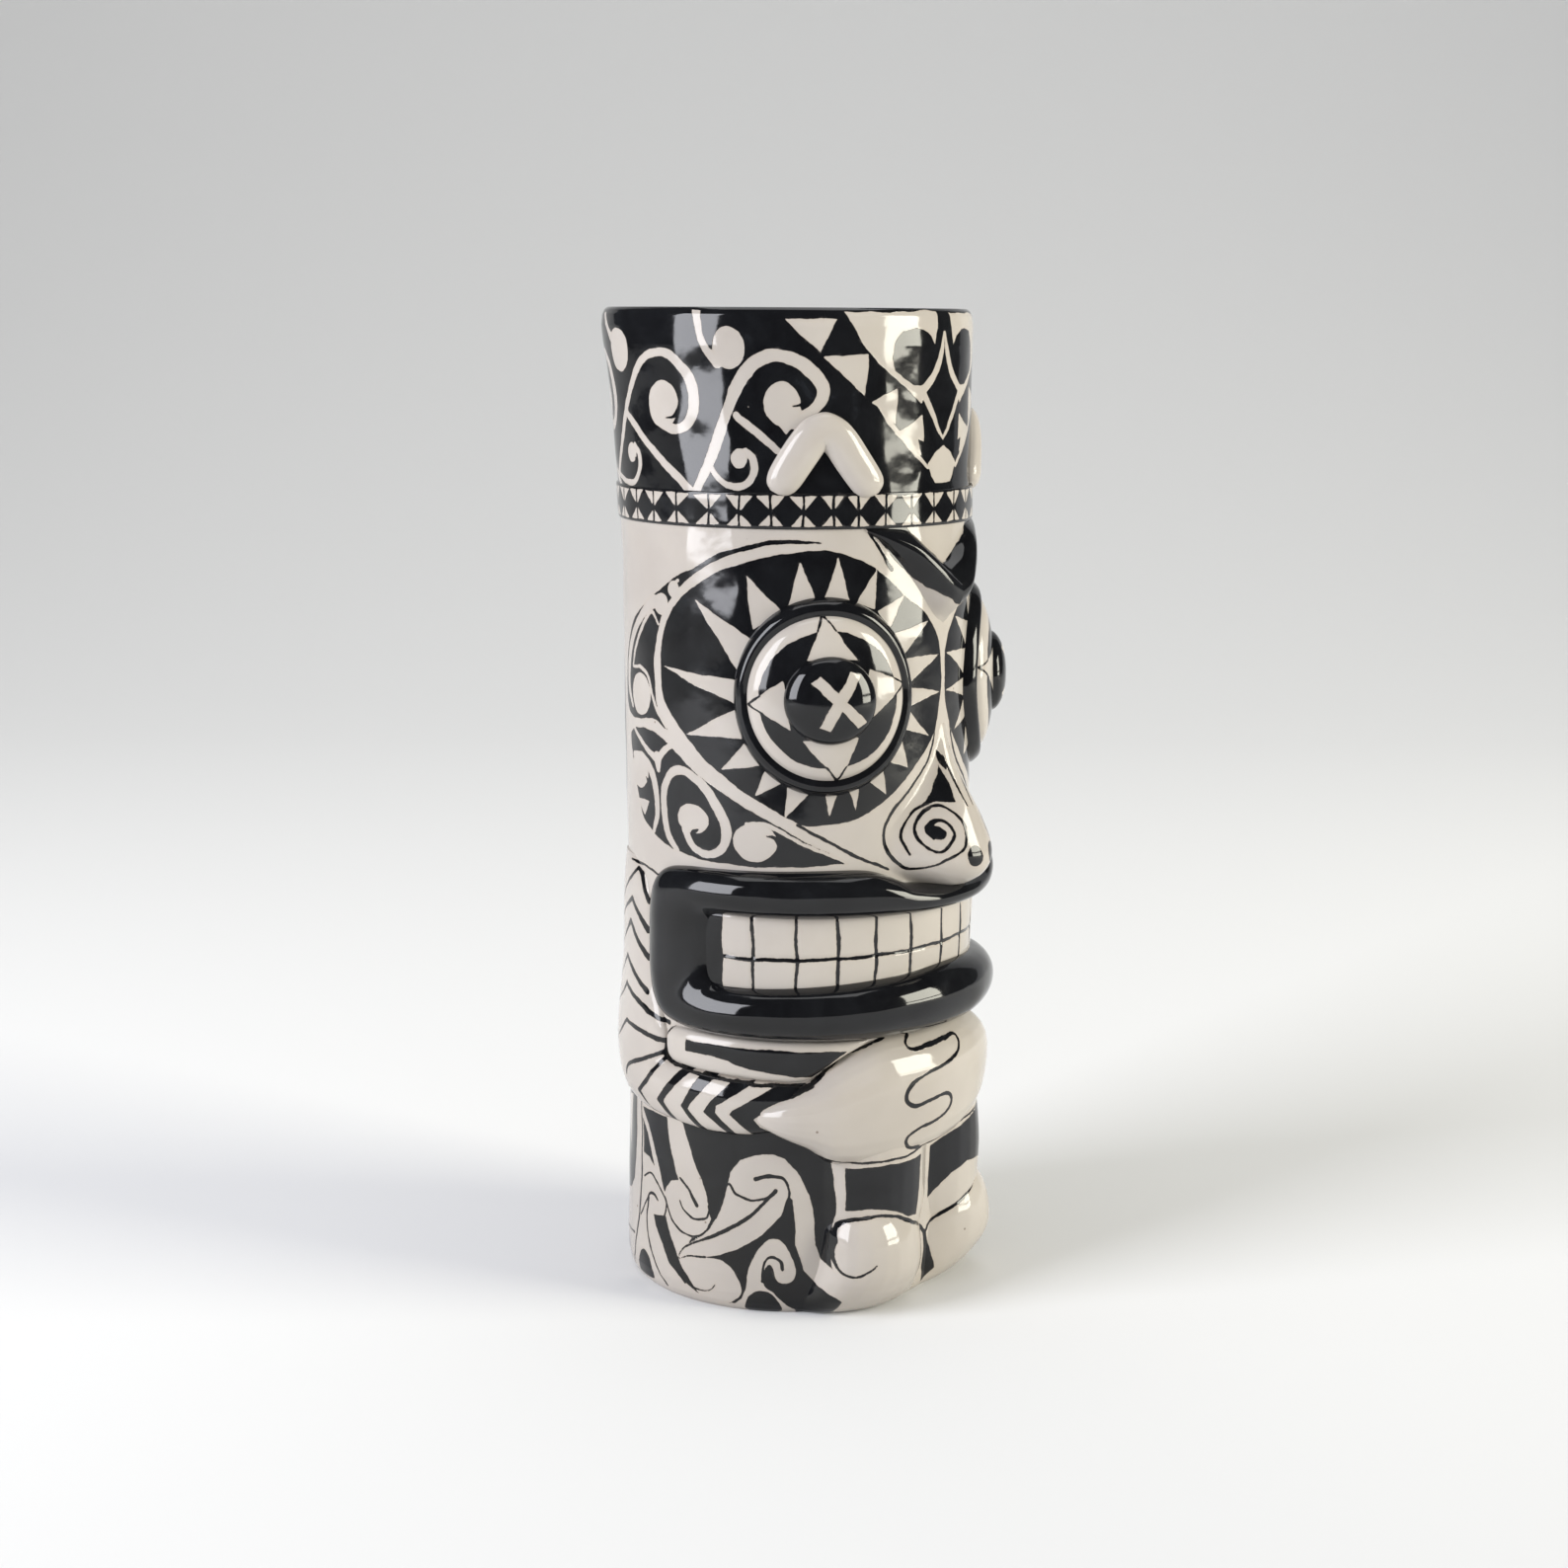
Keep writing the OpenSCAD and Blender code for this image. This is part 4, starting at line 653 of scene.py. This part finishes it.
def relief(name, grid, closed, side, shapes, material, nodes, centre=False, deep=0.45, offset=0.0):
    """A relief form as a closed solid: its fine face, and a plain underside deep mm under the wall's surface."""
    a, z, h = (np.array(g, float) for g in grid)
    if side < 0:
        a = -a
    value = paint(a, z, shapes) if not isinstance(shapes, float) else np.full(a.shape, shapes)
    n, m = a.shape
    top = xyz(a, z, h + offset)
    if centre:                                         # a pole: the innermost ring becomes one point
        top[:, 0] = top[:, 0].mean(0)
    lowa = np.stack([a[:, 0], a[:, -1]], 1)
    lowz = np.stack([z[:, 0], z[:, -1]], 1)
    low = xyz(lowa, lowz, np.full(lowa.shape, -deep))
    k = 4                                              # the underside follows the wall in a few steps
    us = np.linspace(0, 1, k + 2)
    ua = a[:, 0:1] + (a[:, -1:] - a[:, 0:1]) * us
    uz_ = z[:, 0:1] + (z[:, -1:] - z[:, 0:1]) * us
    low = xyz(ua, uz_, np.full(ua.shape, -deep))
    if centre:
        low[:, 0] = low[:, 0].mean(0)
    kk = low.shape[1]
    V = np.concatenate([top.reshape(-1, 3), low.reshape(-1, 3)])
    val = np.concatenate([value.ravel(), paint(ua, uz_, shapes).ravel() if not isinstance(shapes, float) else np.full(ua.size, shapes)])
    T = np.arange(n * m).reshape(n, m)
    L = n * m + np.arange(n * kk).reshape(n, kk)
    ring = np.concatenate([T, L[:, ::-1]], 1)          # each section's closed outline
    rows = np.arange(n)
    i0, i1 = (rows, (rows + 1) % n) if closed else (rows[:-1], rows[1:])
    w = ring.shape[1]
    j0, j1 = np.arange(w), (np.arange(w) + 1) % w
    A, Bq, C, D = ring[i0][:, j0], ring[i1][:, j0], ring[i1][:, j1], ring[i0][:, j1]
    quads = np.stack([A, Bq, C, D], -1).reshape(-1, 4)
    sharp_cols = np.zeros(w, bool)
    sharp_cols[m - 1:] = True                          # the sides and the underside
    sharp = np.where(np.tile(sharp_cols, len(i0)))[0]
    ngons = [] if closed else [ring[0][::-1], ring[-1]]
    if centre:
        # weld the pole: every innermost vertex becomes the first, then triangles stay as quads with a repeat
        quads = np.where(np.isin(quads, T[:, 0]), T[0, 0], quads)
        quads = np.where(np.isin(quads, L[:, 0]), L[0, 0], quads)
    # outward facing: the fine face's first quad must look away from the axis
    q = quads[(n // 2 % max(1, len(i0))) * w + m // 2]
    p = V[q]
    nrm = np.cross(p[1] - p[0], p[2] - p[0])
    c = p.mean(0) * np.array([1, 1, 0])
    if np.dot(nrm, c) < 0:
        quads = quads[:, ::-1]
        ngons = [g[::-1] for g in ngons]
    if centre:
        return make_welded(name, V, quads, val, material, nodes, sharp)
    return make(name, V, quads, ngons, val, material, nodes, sharp)


def make_welded(name, V, quads, val, material, nodes, sharp):
    """For forms with a pole: quads that repeat a vertex become triangles, and ones that vanish are dropped."""
    faces, flat = [], []
    issharp = np.zeros(len(quads), bool)
    issharp[sharp] = True
    same = (quads == np.roll(quads, -1, axis=1))
    good = ~same.any(1)
    used = np.unique(quads)
    remap = -np.ones(len(V), int)
    remap[used] = np.arange(len(used))
    tri = []
    tsharp = []
    for q, s in zip(quads[~good], issharp[~good]):
        u = [int(v) for k, v in enumerate(q) if v != q[k - 1]]
        if len(u) == 3 and len(set(u)) == 3:
            tri.append([int(remap[v]) for v in u])
    q2 = remap[quads[good]]
    sh = np.where(issharp[good])[0]
    ob = make(name, V[used], q2, tri, val[used], material, nodes, sh)
    me = ob.data                                       # the pole's triangles belong to the smooth face
    fs = np.zeros(len(me.polygons), bool)
    me.polygons.foreach_get("use_smooth", fs)
    zc = np.array([V[used][t].mean(0) for t in tri])
    r = np.hypot(zc[:, 0], zc[:, 1])
    fs[len(q2):] = r > np.median(np.hypot(V[:, 0], V[:, 1])) - 0.002
    me.polygons.foreach_set("use_smooth", fs)
    at = me.attributes["sharp_edge"]
    n = len(me.edges)
    le = np.zeros(len(me.loops), np.int32)
    me.loops.foreach_get("edge_index", le)
    tot = np.zeros(len(me.polygons), np.int32)
    me.polygons.foreach_get("loop_total", tot)
    cnt = np.zeros(n, int)
    np.add.at(cnt, le, np.repeat(fs, tot).astype(int))
    at.data.foreach_set("value", cnt < 2)
    return ob


# inside of the cup, (radius, height) from the floor up to the lip
CAVITY = np.array([[28.6, 6], [29.0, 6.8], [29.7, 8.4], [30.0, 11], [30.2, 30], [30.4, 110], [30.7, 160], [31.3, 175], [32.3, 186], [33.5, 194], [33.9, 197], [34.35, 198.8], [35.1, 199.7], [35.8, 200]])


def wall_panel(name, a0, a1, z0, z1, material, last):
    """A block of the wall between two angles and two heights, outside, inside and edges."""
    na = int(round((a1 - a0) / 0.4)) + 1
    aa = np.linspace(a0, a1, na)
    if last:
        zs = np.concatenate([np.arange(z0, 192, 0.25), np.linspace(192, 198, 30)[:-1], np.linspace(198, 199.7, 16)[:-1], np.linspace(199.7, 200, 8)])
    else:
        n = int(round((z1 - z0) / 0.25))
        zs = np.linspace(z0, z1, n + 1)
        if z0 == 0:
            zs = np.concatenate([np.linspace(0, 0.8, 7)[:-1], zs[zs >= 0.8]])
    a, z = np.meshgrid(aa, zs, indexing="ij")
    out = xyz(a, z, 0 * a)
    value = paint(a, z)
    if last:                                           # a thin black line round the lip, its lower edge wavering
        rim = (z - 199.72) / 0.28
        edge = 199.25 + 0.22 * np.sin(a * DEG * 5 + 1) + 0.15 * np.sin(a * DEG * 13) + 0.1 * np.sin(a * DEG * 37 + 2)
        value = np.where(z > 198.3, np.minimum(value, (edge - z) * 1.0), value)
    lo = max(z0, CAVITY[0, 1]) if z0 > 0 else 0.0
    if z0 == 0:
        inner = [(28.6, 0.0)] + [tuple(r) for r in CAVITY if r[1] < z1 - 1]
        inner += [(float(np.interp(zz, CAVITY[:, 1], CAVITY[:, 0])), float(zz)) for zz in np.linspace(max(14, z0), z1, 12)]
    elif last:
        inner = [(float(np.interp(zz, CAVITY[:, 1], CAVITY[:, 0])), float(zz)) for zz in np.concatenate([np.linspace(z0, 186, 14), np.linspace(187.5, 197, 12), np.linspace(197.4, 199.8, 12)])]
        inner += [(35.8, 200.0)]
    else:
        inner = [(float(np.interp(zz, CAVITY[:, 1], CAVITY[:, 0])), float(zz)) for zz in np.linspace(z0, z1, 16)]
    inner = sorted(set(inner), key=lambda t: (t[1], t[0]))
    ir = np.array([t[0] for t in inner]) / 1000
    iz = np.array([t[1] for t in inner]) / 1000
    ins = np.stack([-ir[None] * np.sin(aa * DEG)[:, None], -ir[None] * np.cos(aa * DEG)[:, None], np.broadcast_to(iz[None], (na, len(iz)))], -1)[:, ::-1]
    n1, n2 = out.shape[1], ins.shape[1]
    ival = np.full((na, n2), LIM)
    if last:
        ival[:, :2] = -0.4
    V = np.concatenate([out.reshape(-1, 3), ins.reshape(-1, 3)])
    val = np.concatenate([value.ravel(), ival.ravel()])
    T = np.arange(na * n1).reshape(na, n1)
    L = na * n1 + np.arange(na * n2).reshape(na, n2)
    ring = np.concatenate([T, L], 1)
    w = ring.shape[1]
    j0, j1 = np.arange(w), (np.arange(w) + 1) % w
    quads = np.stack([ring[:-1][:, j0], ring[:-1][:, j1], ring[1:][:, j1], ring[1:][:, j0]], -1).reshape(-1, 4)
    sharp_cols = np.zeros(w, bool)
    sharp_cols[w - 1] = True                           # bottom cut
    if not last:
        sharp_cols[n1 - 1] = True                      # top cut
    sharp = np.where(np.tile(sharp_cols, na - 1))[0]
    q = quads[(na // 2) * w + n1 // 2]
    p = V[q]
    if np.dot(np.cross(p[1] - p[0], p[2] - p[0]), p.mean(0) * np.array([1, 1, 0])) < 0:
        quads = quads[:, ::-1]
        caps = [ring[0], ring[-1][::-1]]
    else:
        caps = [ring[0][::-1], ring[-1]]
    return make(name, V, quads, caps, val, material, ("cup_wall",), sharp)


# ---------------------------------------------------------------- materials
def tree(name):
    m = bpy.data.materials.new(name)
    m.use_nodes = True
    t = m.node_tree
    t.nodes.clear()
    out = t.nodes.new("ShaderNodeOutputMaterial")
    return m, t, out


def node(t, kind, **kw):
    n = t.nodes.new(kind)
    for k, v in kw.items():
        if k.startswith("in_"):
            key = k[3:]
            n.inputs[int(key) if key.isdigit() else key.replace("_", " ")].default_value = v
        else:
            setattr(n, k, v)
    return n


def maprange(t, src, a, b, c=0.0, d=1.0, smooth=False):
    n = node(t, "ShaderNodeMapRange")
    n.interpolation_type = "SMOOTHSTEP" if smooth else "LINEAR"
    for i, v in enumerate((a, b, c, d)):
        n.inputs[i + 1].default_value = v
    t.links.new(src, n.inputs[0])
    return n.outputs[0]


def math2(t, op, x, y):
    n = node(t, "ShaderNodeMath", operation=op)
    for i, v in enumerate((x, y)):
        if isinstance(v, (int, float)):
            n.inputs[i].default_value = v
        else:
            t.links.new(v, n.inputs[i])
    return n.outputs[0]


def ramp(t, src, stops):
    n = node(t, "ShaderNodeValToRGB")
    e = n.color_ramp.elements
    while len(e) < len(stops):
        e.new(0.5)
    for el, (p, c) in zip(e, stops):
        el.position = p
        el.color = (*c, 1)
    t.links.new(src, n.inputs[0])
    return n.outputs[0]


def mix(t, fac, a, b, mode="MIX"):
    n = node(t, "ShaderNodeMix", data_type="RGBA", blend_type=mode)
    if isinstance(fac, (int, float)):
        n.inputs[0].default_value = fac
    else:
        t.links.new(fac, n.inputs[0])
    for i, v in ((6, a), (7, b)):
        if isinstance(v, tuple):
            n.inputs[i].default_value = (*v, 1)
        else:
            t.links.new(v, n.inputs[i])
    return n.outputs[2]


def noise(t, coord, scale, detail=2.0, rough=0.5, dist=0.0):
    n = node(t, "ShaderNodeTexNoise", in_Scale=scale, in_Detail=detail, in_Roughness=rough, in_Distortion=dist)
    t.links.new(coord, n.inputs["Vector"])
    return n.outputs["Fac"]


def bsdf(t, out, rough, coat):
    b = node(t, "ShaderNodeBsdfPrincipled")
    b.inputs["Roughness"].default_value = rough
    b.inputs["IOR"].default_value = 1.5
    b.inputs["Coat Weight"].default_value = coat
    t.links.new(b.outputs[0], out.inputs[0])
    return b


def glaze(name, painted=True, lining=False):
    """Cream glaze with black drawing where the paint attribute is negative, under one glossy coat."""
    m, t, out = tree(name)
    co = node(t, "ShaderNodeTexCoord").outputs["Object"]
    b = bsdf(t, out, 0.07, 0.0)
    slow = noise(t, co, 26, 3, 0.55)
    cream = ramp(t, slow, [(0.30, (0.465, 0.422, 0.380)), (0.52, (0.520, 0.476, 0.430)), (0.74, (0.565, 0.520, 0.470))])
    pool = noise(t, co, 95, 4, 0.6)
    cream = mix(t, maprange(t, pool, 0.50, 0.80, 0, 0.35), cream, (0.47, 0.415, 0.35))
    # iron specks and a few pale pinholes
    v = node(t, "ShaderNodeTexVoronoi", in_Scale=210.0)
    t.links.new(co, v.inputs["Vector"])
    keep = node(t, "ShaderNodeSeparateColor")
    t.links.new(v.outputs["Color"], keep.inputs[0])
    speck = math2(t, "MULTIPLY", maprange(t, v.outputs["Distance"], 0.035, 0.07, 1, 0), math2(t, "GREATER_THAN", keep.outputs[0], 0.86))
    cream = mix(t, math2(t, "MULTIPLY", speck, 0.75), cream, (0.16, 0.11, 0.08))
    if painted:
        at = node(t, "ShaderNodeAttribute", attribute_name="paint", attribute_type="GEOMETRY")
        edge = math2(t, "ADD", at.outputs["Fac"], maprange(t, noise(t, co, 900, 3, 0.6), 0.3, 0.7, -0.07, 0.07))
        edge = math2(t, "ADD", edge, maprange(t, noise(t, co, 260, 2, 0.5), 0.3, 0.7, -0.05, 0.05))
        mask = maprange(t, edge, -0.045, 0.055, 0, 1, True)
        # where the brush ran thin the black goes to dark slate
        streak = noise(t, co, 120, 5, 0.65, 0.6)
        black = ramp(t, streak, [(0.35, (0.0045, 0.0045, 0.0055)), (0.62, (0.009, 0.0095, 0.011)), (0.82, (0.020, 0.022, 0.026))])
        thin = maprange(t, at.outputs["Fac"], -0.45, -0.05, 0, 1)
        dry = math2(t, "MULTIPLY", thin, maprange(t, noise(t, co, 420, 3, 0.7), 0.56, 0.72, 0, 0.45))
        black = mix(t, dry, black, (0.11, 0.10, 0.095))
        v2 = node(t, "ShaderNodeTexVoronoi", in_Scale=330.0)
        t.links.new(co, v2.inputs["Vector"])
        k2 = node(t, "ShaderNodeSeparateColor")
        t.links.new(v2.outputs["Color"], k2.inputs[0])
        dust = math2(t, "MULTIPLY", maprange(t, v2.outputs["Distance"], 0.03, 0.07, 1, 0), math2(t, "GREATER_THAN", k2.outputs[0], 0.90))
        black = mix(t, math2(t, "MULTIPLY", dust, 0.5), black, (0.30, 0.27, 0.24))
        halo = maprange(t, at.outputs["Fac"], 0.02, 0.5, 0.30, 0)
        cream = mix(t, halo, cream, (0.50, 0.42, 0.34))
        colour = mix(t, mask, black, cream)
        t.links.new(maprange(t, streak, 0.3, 0.8, 0.055, 0.11), b.inputs["Roughness"])
    else:
        colour = cream
    t.links.new(colour, b.inputs["Base Color"])
    # the coat's faint unevenness: slow pull lines, orange peel, and the step at each brush edge
    h = math2(t, "MULTIPLY", noise(t, co, 55, 2, 0.5), 0.0006)
    h = math2(t, "ADD", h, math2(t, "MULTIPLY", noise(t, co, 150, 2, 0.5), 0.00011))
    h = math2(t, "ADD", h, math2(t, "MULTIPLY", noise(t, co, 330, 2, 0.5), 0.000018))
    if painted:
        h = math2(t, "ADD", h, math2(t, "MULTIPLY", mask, -0.00003))
    bump_ = node(t, "ShaderNodeBump", in_Strength=0.55, in_Distance=1.0)
    t.links.new(h, bump_.inputs["Height"])
    t.links.new(bump_.outputs[0], b.inputs["Normal"])
    return m


def bare(name):
    """Unglazed biscuit: matt, pitted, with faint dark flecks of kiln dust."""
    m, t, out = tree(name)
    co = node(t, "ShaderNodeTexCoord").outputs["Object"]
    b = node(t, "ShaderNodeBsdfPrincipled")
    b.inputs["Roughness"].default_value = 0.85
    t.links.new(b.outputs[0], out.inputs[0])
    c = ramp(t, noise(t, co, 70, 5, 0.6), [(0.3, (0.50, 0.41, 0.31)), (0.55, (0.60, 0.50, 0.39)), (0.8, (0.67, 0.58, 0.47))])
    c = mix(t, maprange(t, noise(t, co, 900, 2, 0.6), 0.62, 0.72, 0, 0.6), c, (0.32, 0.24, 0.17))
    t.links.new(c, b.inputs["Base Color"])
    h = math2(t, "MULTIPLY", noise(t, co, 1400, 4, 0.7), 0.00012)
    bump_ = node(t, "ShaderNodeBump", in_Strength=0.6, in_Distance=1.0)
    t.links.new(h, bump_.inputs["Height"])
    t.links.new(bump_.outputs[0], b.inputs["Normal"])
    return m


PAINTED = glaze("painted_glaze")
LINING = glaze("lining_glaze", painted=False)
BISCUIT = bare("bare_biscuit")

# ---------------------------------------------------------------- pieces
ANG = (-60, 60, 180, 300)
ZED = (0, 76, 148, 200)
for i, nm in enumerate(("front", "right", "left")):
    a0, a1 = ((-60, 60), (60, 180), (-180, -60))[i]
    for k, zn in enumerate(("low", "mid", "top")):
        wall_panel(f"v_wall_{nm}_{zn}", a0, a1, ZED[k], ZED[k + 1], PAINTED, k == 2)

G = grids()
for name, (grid, closed) in G.items():
    if name == "teeth":
        continue
    if name in ("upper_lip", "lower_lip"):
        relief(f"v_{name}", grid, closed, 1, -LIM, PAINTED, (name,))
        continue
    if name == "nose":
        relief("v_nose", grid, closed, 1, None, PAINTED, ("nose",))
        continue
    part = "hand" if name == "hand_far" else name
    for side, word in ((1, "right"), (-1, "left")):
        if (name, side) in (("hand", -1), ("hand_far", 1)):
            continue
        shapes = None
        slot = "painted_wall"
        if name == "crest_chevron":
            shapes, slot = LIM, "cream_glaze"
        elif name == "eye_ring":
            shapes, slot = -LIM, "black_glaze"
        elif name in ("eyeball", "pupil"):
            group = EYE if name == "eyeball" else PUPIL
            if side > 0:
                shapes = group
            else:                                      # the other side's, turned over
                shapes = []
                for colour, kind, data in group:
                    if kind == "blob":
                        shapes.append((colour, kind, (-data[0], *data[1:])))
                    else:
                        d = np.array(data)
                        d[:, 0] *= -1
                        shapes.append((colour, kind, d))
        relief(f"v_{part}_{word}", grid, closed, side, shapes, PAINTED, (f"{part}_{word}",), centre=name == "pupil")

# teeth: one curved plate in two rows, with shallow grooves where the lines are drawn
SPLIT = 74.7
for e in (-1, 1):
    into(TEETH, poly, B, [(75.2 * e, 60), (75.2 * e, 92), (92 * e, 92), (92 * e, 60)])
VERT = (65.5, 52.3, 39.8, 27.9, 15.6, 2, -10.4, -23, -35.6, -48, -60.6, -73)
for name, zz in (("lower_teeth", np.concatenate([np.linspace(68, 68.6, 6)[:-1], np.linspace(68.6, SPLIT, 24)])), ("upper_teeth", np.concatenate([np.linspace(SPLIT, 82.3, 28), np.linspace(82.3, 82.9, 6)[1:]]))):
    aa = np.linspace(-81, 81, 460)
    a, z = np.meshgrid(aa, zz, indexing="ij")
    h = 1.35 * bump((z - 68) / 14.9, 10) - 0.25
    h = h - 0.16 * np.exp(-((z - SPLIT) / 0.4) ** 2) * np.clip((75.5 - np.abs(a)) / 1.5, 0, 1)
    for v in VERT:
        h = h - 0.16 * np.exp(-(((a - v) / MM) / 0.4) ** 2)
    relief("v_" + name, (a, z, h), False, 1, TEETH, PAINTED, (name,))

# headband: a low moulded band right round
aa = np.arange(0, 360, 0.42)
t = np.concatenate([np.linspace(0, 0.08, 6)[:-1], np.linspace(0.08, 0.92, 26), np.linspace(0.92, 1, 6)[1:]])
a, tt = np.meshgrid(aa, t, indexing="ij")
a = np.where(a > 180, a - 360, a)
z = 158.3 + 7.0 * tt
h = 0.25 + 0 * z
h = 0.72 * bump(tt, 7) - 0.25
relief("v_headband", (a, z, h), True, 1, BAND, PAINTED, ("headband",))

# floor of the cup: glazed dish above, bare foot underneath
r = np.concatenate([[0.0], np.linspace(0.6, 28.6, 40)]) / 1000
th = np.arange(180) / 180 * 2 * np.pi
top_z = (6.0 + 0.25 * (r / r.max()) ** 2 - 0.25) / 1000
verts = [(0, 0, top_z[0])] + [(-q * math.sin(u), -q * math.cos(u), zz) for q, zz in zip(r[1:], top_z[1:]) for u in th]
n = len(th)
quads = [(1 + k * n + i, 1 + (k + 1) * n + i, 1 + (k + 1) * n + (i + 1) % n, 1 + k * n + (i + 1) % n) for k in range(len(r) - 2) for i in range(n)]
base = len(verts)
low_z = [0.0012 if q < 0.0255 else 0.0012 * max(0.0, 1 - (q - 0.0255) / 0.002) for q in r]
verts += [(0, 0, low_z[0])] + [(-q * math.sin(u), -q * math.cos(u), zz) for q, zz in zip(r[1:], low_z[1:]) for u in th]
under = [(base + 1 + k * n + i, base + 1 + k * n + (i + 1) % n, base + 1 + (k + 1) * n + (i + 1) % n, base + 1 + (k + 1) * n + i) for k in range(len(r) - 2) for i in range(n)]
last = 1 + (len(r) - 2) * n
side = [(last + i, base + last + i, base + last + (i + 1) % n, last + (i + 1) % n) for i in range(n)]
tris = [(0, 1 + i, 1 + (i + 1) % n) for i in range(n)] + [(base, base + 1 + (i + 1) % n, base + 1 + i) for i in range(n)]
allq = quads + side + under
floor_ob = make("v_cup_floor", verts, allq, tris, None, LINING, ("cup_floor",), None)
me = floor_ob.data
me.materials.append(BISCUIT)
idx = np.zeros(len(me.polygons), np.int32)
idx[len(quads) + len(side):len(allq)] = 1
idx[len(allq) + n:] = 1
me.polygons.foreach_set("material_index", idx)
me.polygons.foreach_set("use_smooth", np.ones(len(me.polygons), bool))

# ---------------------------------------------------------------- stage, lights, camera
def plain(name, colour, rough):
    m, t, out = tree(name)
    b = node(t, "ShaderNodeBsdfPrincipled")
    b.inputs["Roughness"].default_value = rough
    b.inputs["Specular IOR Level"].default_value = 0.2
    t.links.new(b.outputs[0], out.inputs[0])
    co = node(t, "ShaderNodeTexCoord").outputs["Object"]
    c = ramp(t, noise(t, co, 3, 3, 0.5), [(0.3, tuple(0.985 * v for v in colour)), (0.7, colour)])
    t.links.new(c, b.inputs["Base Color"])
    return m


cam_dir = np.array([-0.8142, -0.5807])
away = -cam_dir
side_v = np.array([0.5807, -0.8142])
# a sheet of paper: flat under the mug, then swept up behind it
prof = [(x, 0.0) for x in np.linspace(-0.62, 0.70, 9)]
prof += [(0.70 + 0.9 * math.sin(u), 0.9 - 0.9 * math.cos(u)) for u in np.linspace(0.1, math.pi / 2, 16)]
prof += [(1.60, 1.6), (1.60, 2.6)]
pv, pf = [], []
for x, zz in prof:
    for s in (-1.5, -0.75, 0.0, 0.75, 1.5):
        pxy = away * x + side_v * s
        pv.append((pxy[0], pxy[1], zz - 0.00002))
for i in range(len(prof) - 1):
    for j in range(4):
        q = i * 5 + j
        pf.append((q, q + 1, q + 6, q + 5))
pm = bpy.data.meshes.new("backdrop")
pm.from_pydata(pv, [], pf)
pm.update()
for p in pm.polygons:
    p.use_smooth = True
stage = bpy.data.objects.new("backdrop", pm)
bpy.context.scene.collection.objects.link(stage)


def paper():
    """Matt studio paper, the same pale grey all over."""
    m, t, out = tree("paper")
    b = node(t, "ShaderNodeBsdfDiffuse", in_Roughness=0.6)
    b.inputs["Color"].default_value = (0.76, 0.76, 0.76, 1)
    t.links.new(b.outputs[0], out.inputs[0])
    return m


pm.materials.append(paper())


def look(obj, at):
    from mathutils import Vector
    d = Vector(at) - obj.location
    obj.rotation_euler = d.to_track_quat("-Z", "Y").to_euler()


def area(name, loc, at, w, h, power, colour=(1, 1, 1), spread=None):
    d = bpy.data.lights.new(name, "AREA")
    d.shape = "RECTANGLE"
    d.size, d.size_y = w, h
    d.energy = power
    d.color = colour
    if spread:
        d.spread = spread
    o = bpy.data.objects.new(name, d)
    o.location = loc
    bpy.context.scene.collection.objects.link(o)
    look(o, at)
    return o


area("softbox_left", (-0.931 * 0.78, 0.365 * 0.78, 0.40), (-0.03, 0, 0.40), 0.44, 0.66, 7.6, (0.93, 0.94, 1.0))
area("window_right_low", (0.342 * 0.95, -0.940 * 0.95, 0.085), (0, -0.03, 0.085), 0.44, 0.10, 1.6, (1.0, 0.975, 0.84))
area("window_right_high", (0.342 * 0.95, -0.940 * 0.95, 0.42), (0, -0.03, 0.42), 0.44, 0.50, 8.4, (1.0, 0.975, 0.84))
area("overhead", (0.25, 0.15, 1.7), (0.15, 0.1, 0.0), 1.3, 1.3, 9.6)

# the room: pale where the camera sees past the paper, a soft fill on matt surfaces, and dark in the glaze's reflections
world = bpy.data.worlds.new("studio")
bpy.context.scene.world = world
world.use_nodes = True
wt = world.node_tree
wt.nodes.clear()
wout = wt.nodes.new("ShaderNodeOutputWorld")
lp = wt.nodes.new("ShaderNodeLightPath")
fill = wt.nodes.new("ShaderNodeBackground")
fill.inputs[0].default_value = (0.95, 0.97, 1.0, 1)
fill.inputs[1].default_value = 0.30
seen = wt.nodes.new("ShaderNodeBackground")
seen.inputs[0].default_value = (0.62, 0.625, 0.635, 1)
seen.inputs[1].default_value = 1.0
dark = wt.nodes.new("ShaderNodeBackground")
dark.inputs[0].default_value = (0.9, 0.95, 1.0, 1)
dark.inputs[1].default_value = 0.055
m1 = wt.nodes.new("ShaderNodeMixShader")
m2 = wt.nodes.new("ShaderNodeMixShader")
wt.links.new(lp.outputs["Is Glossy Ray"], m1.inputs[0])
wt.links.new(fill.outputs[0], m1.inputs[1])
wt.links.new(dark.outputs[0], m1.inputs[2])
wt.links.new(lp.outputs["Is Camera Ray"], m2.inputs[0])
wt.links.new(m1.outputs[0], m2.inputs[1])
wt.links.new(seen.outputs[0], m2.inputs[2])
wt.links.new(m2.outputs[0], wout.inputs[0])
bpy.context.scene.view_settings.view_transform = "Standard"

cam = bpy.data.cameras.new("camera")
cam.sensor_width = 36
cam.lens = 2652 / 1588 * 36
cam.clip_start = 0.01
cam.clip_end = 30
co = bpy.data.objects.new("camera", cam)
co.location = (-0.4362, -0.3111, 0.1979)
pitch = math.radians(10.08)
from mathutils import Quaternion, Vector
fwd = Vector((0.8142 * math.cos(pitch), 0.5807 * math.cos(pitch), -math.sin(pitch)))
co.rotation_euler = (Quaternion(fwd, math.radians(-0.37)) @ fwd.to_track_quat("-Z", "Y")).to_euler()
bpy.context.scene.collection.objects.link(co)
bpy.context.scene.camera = co
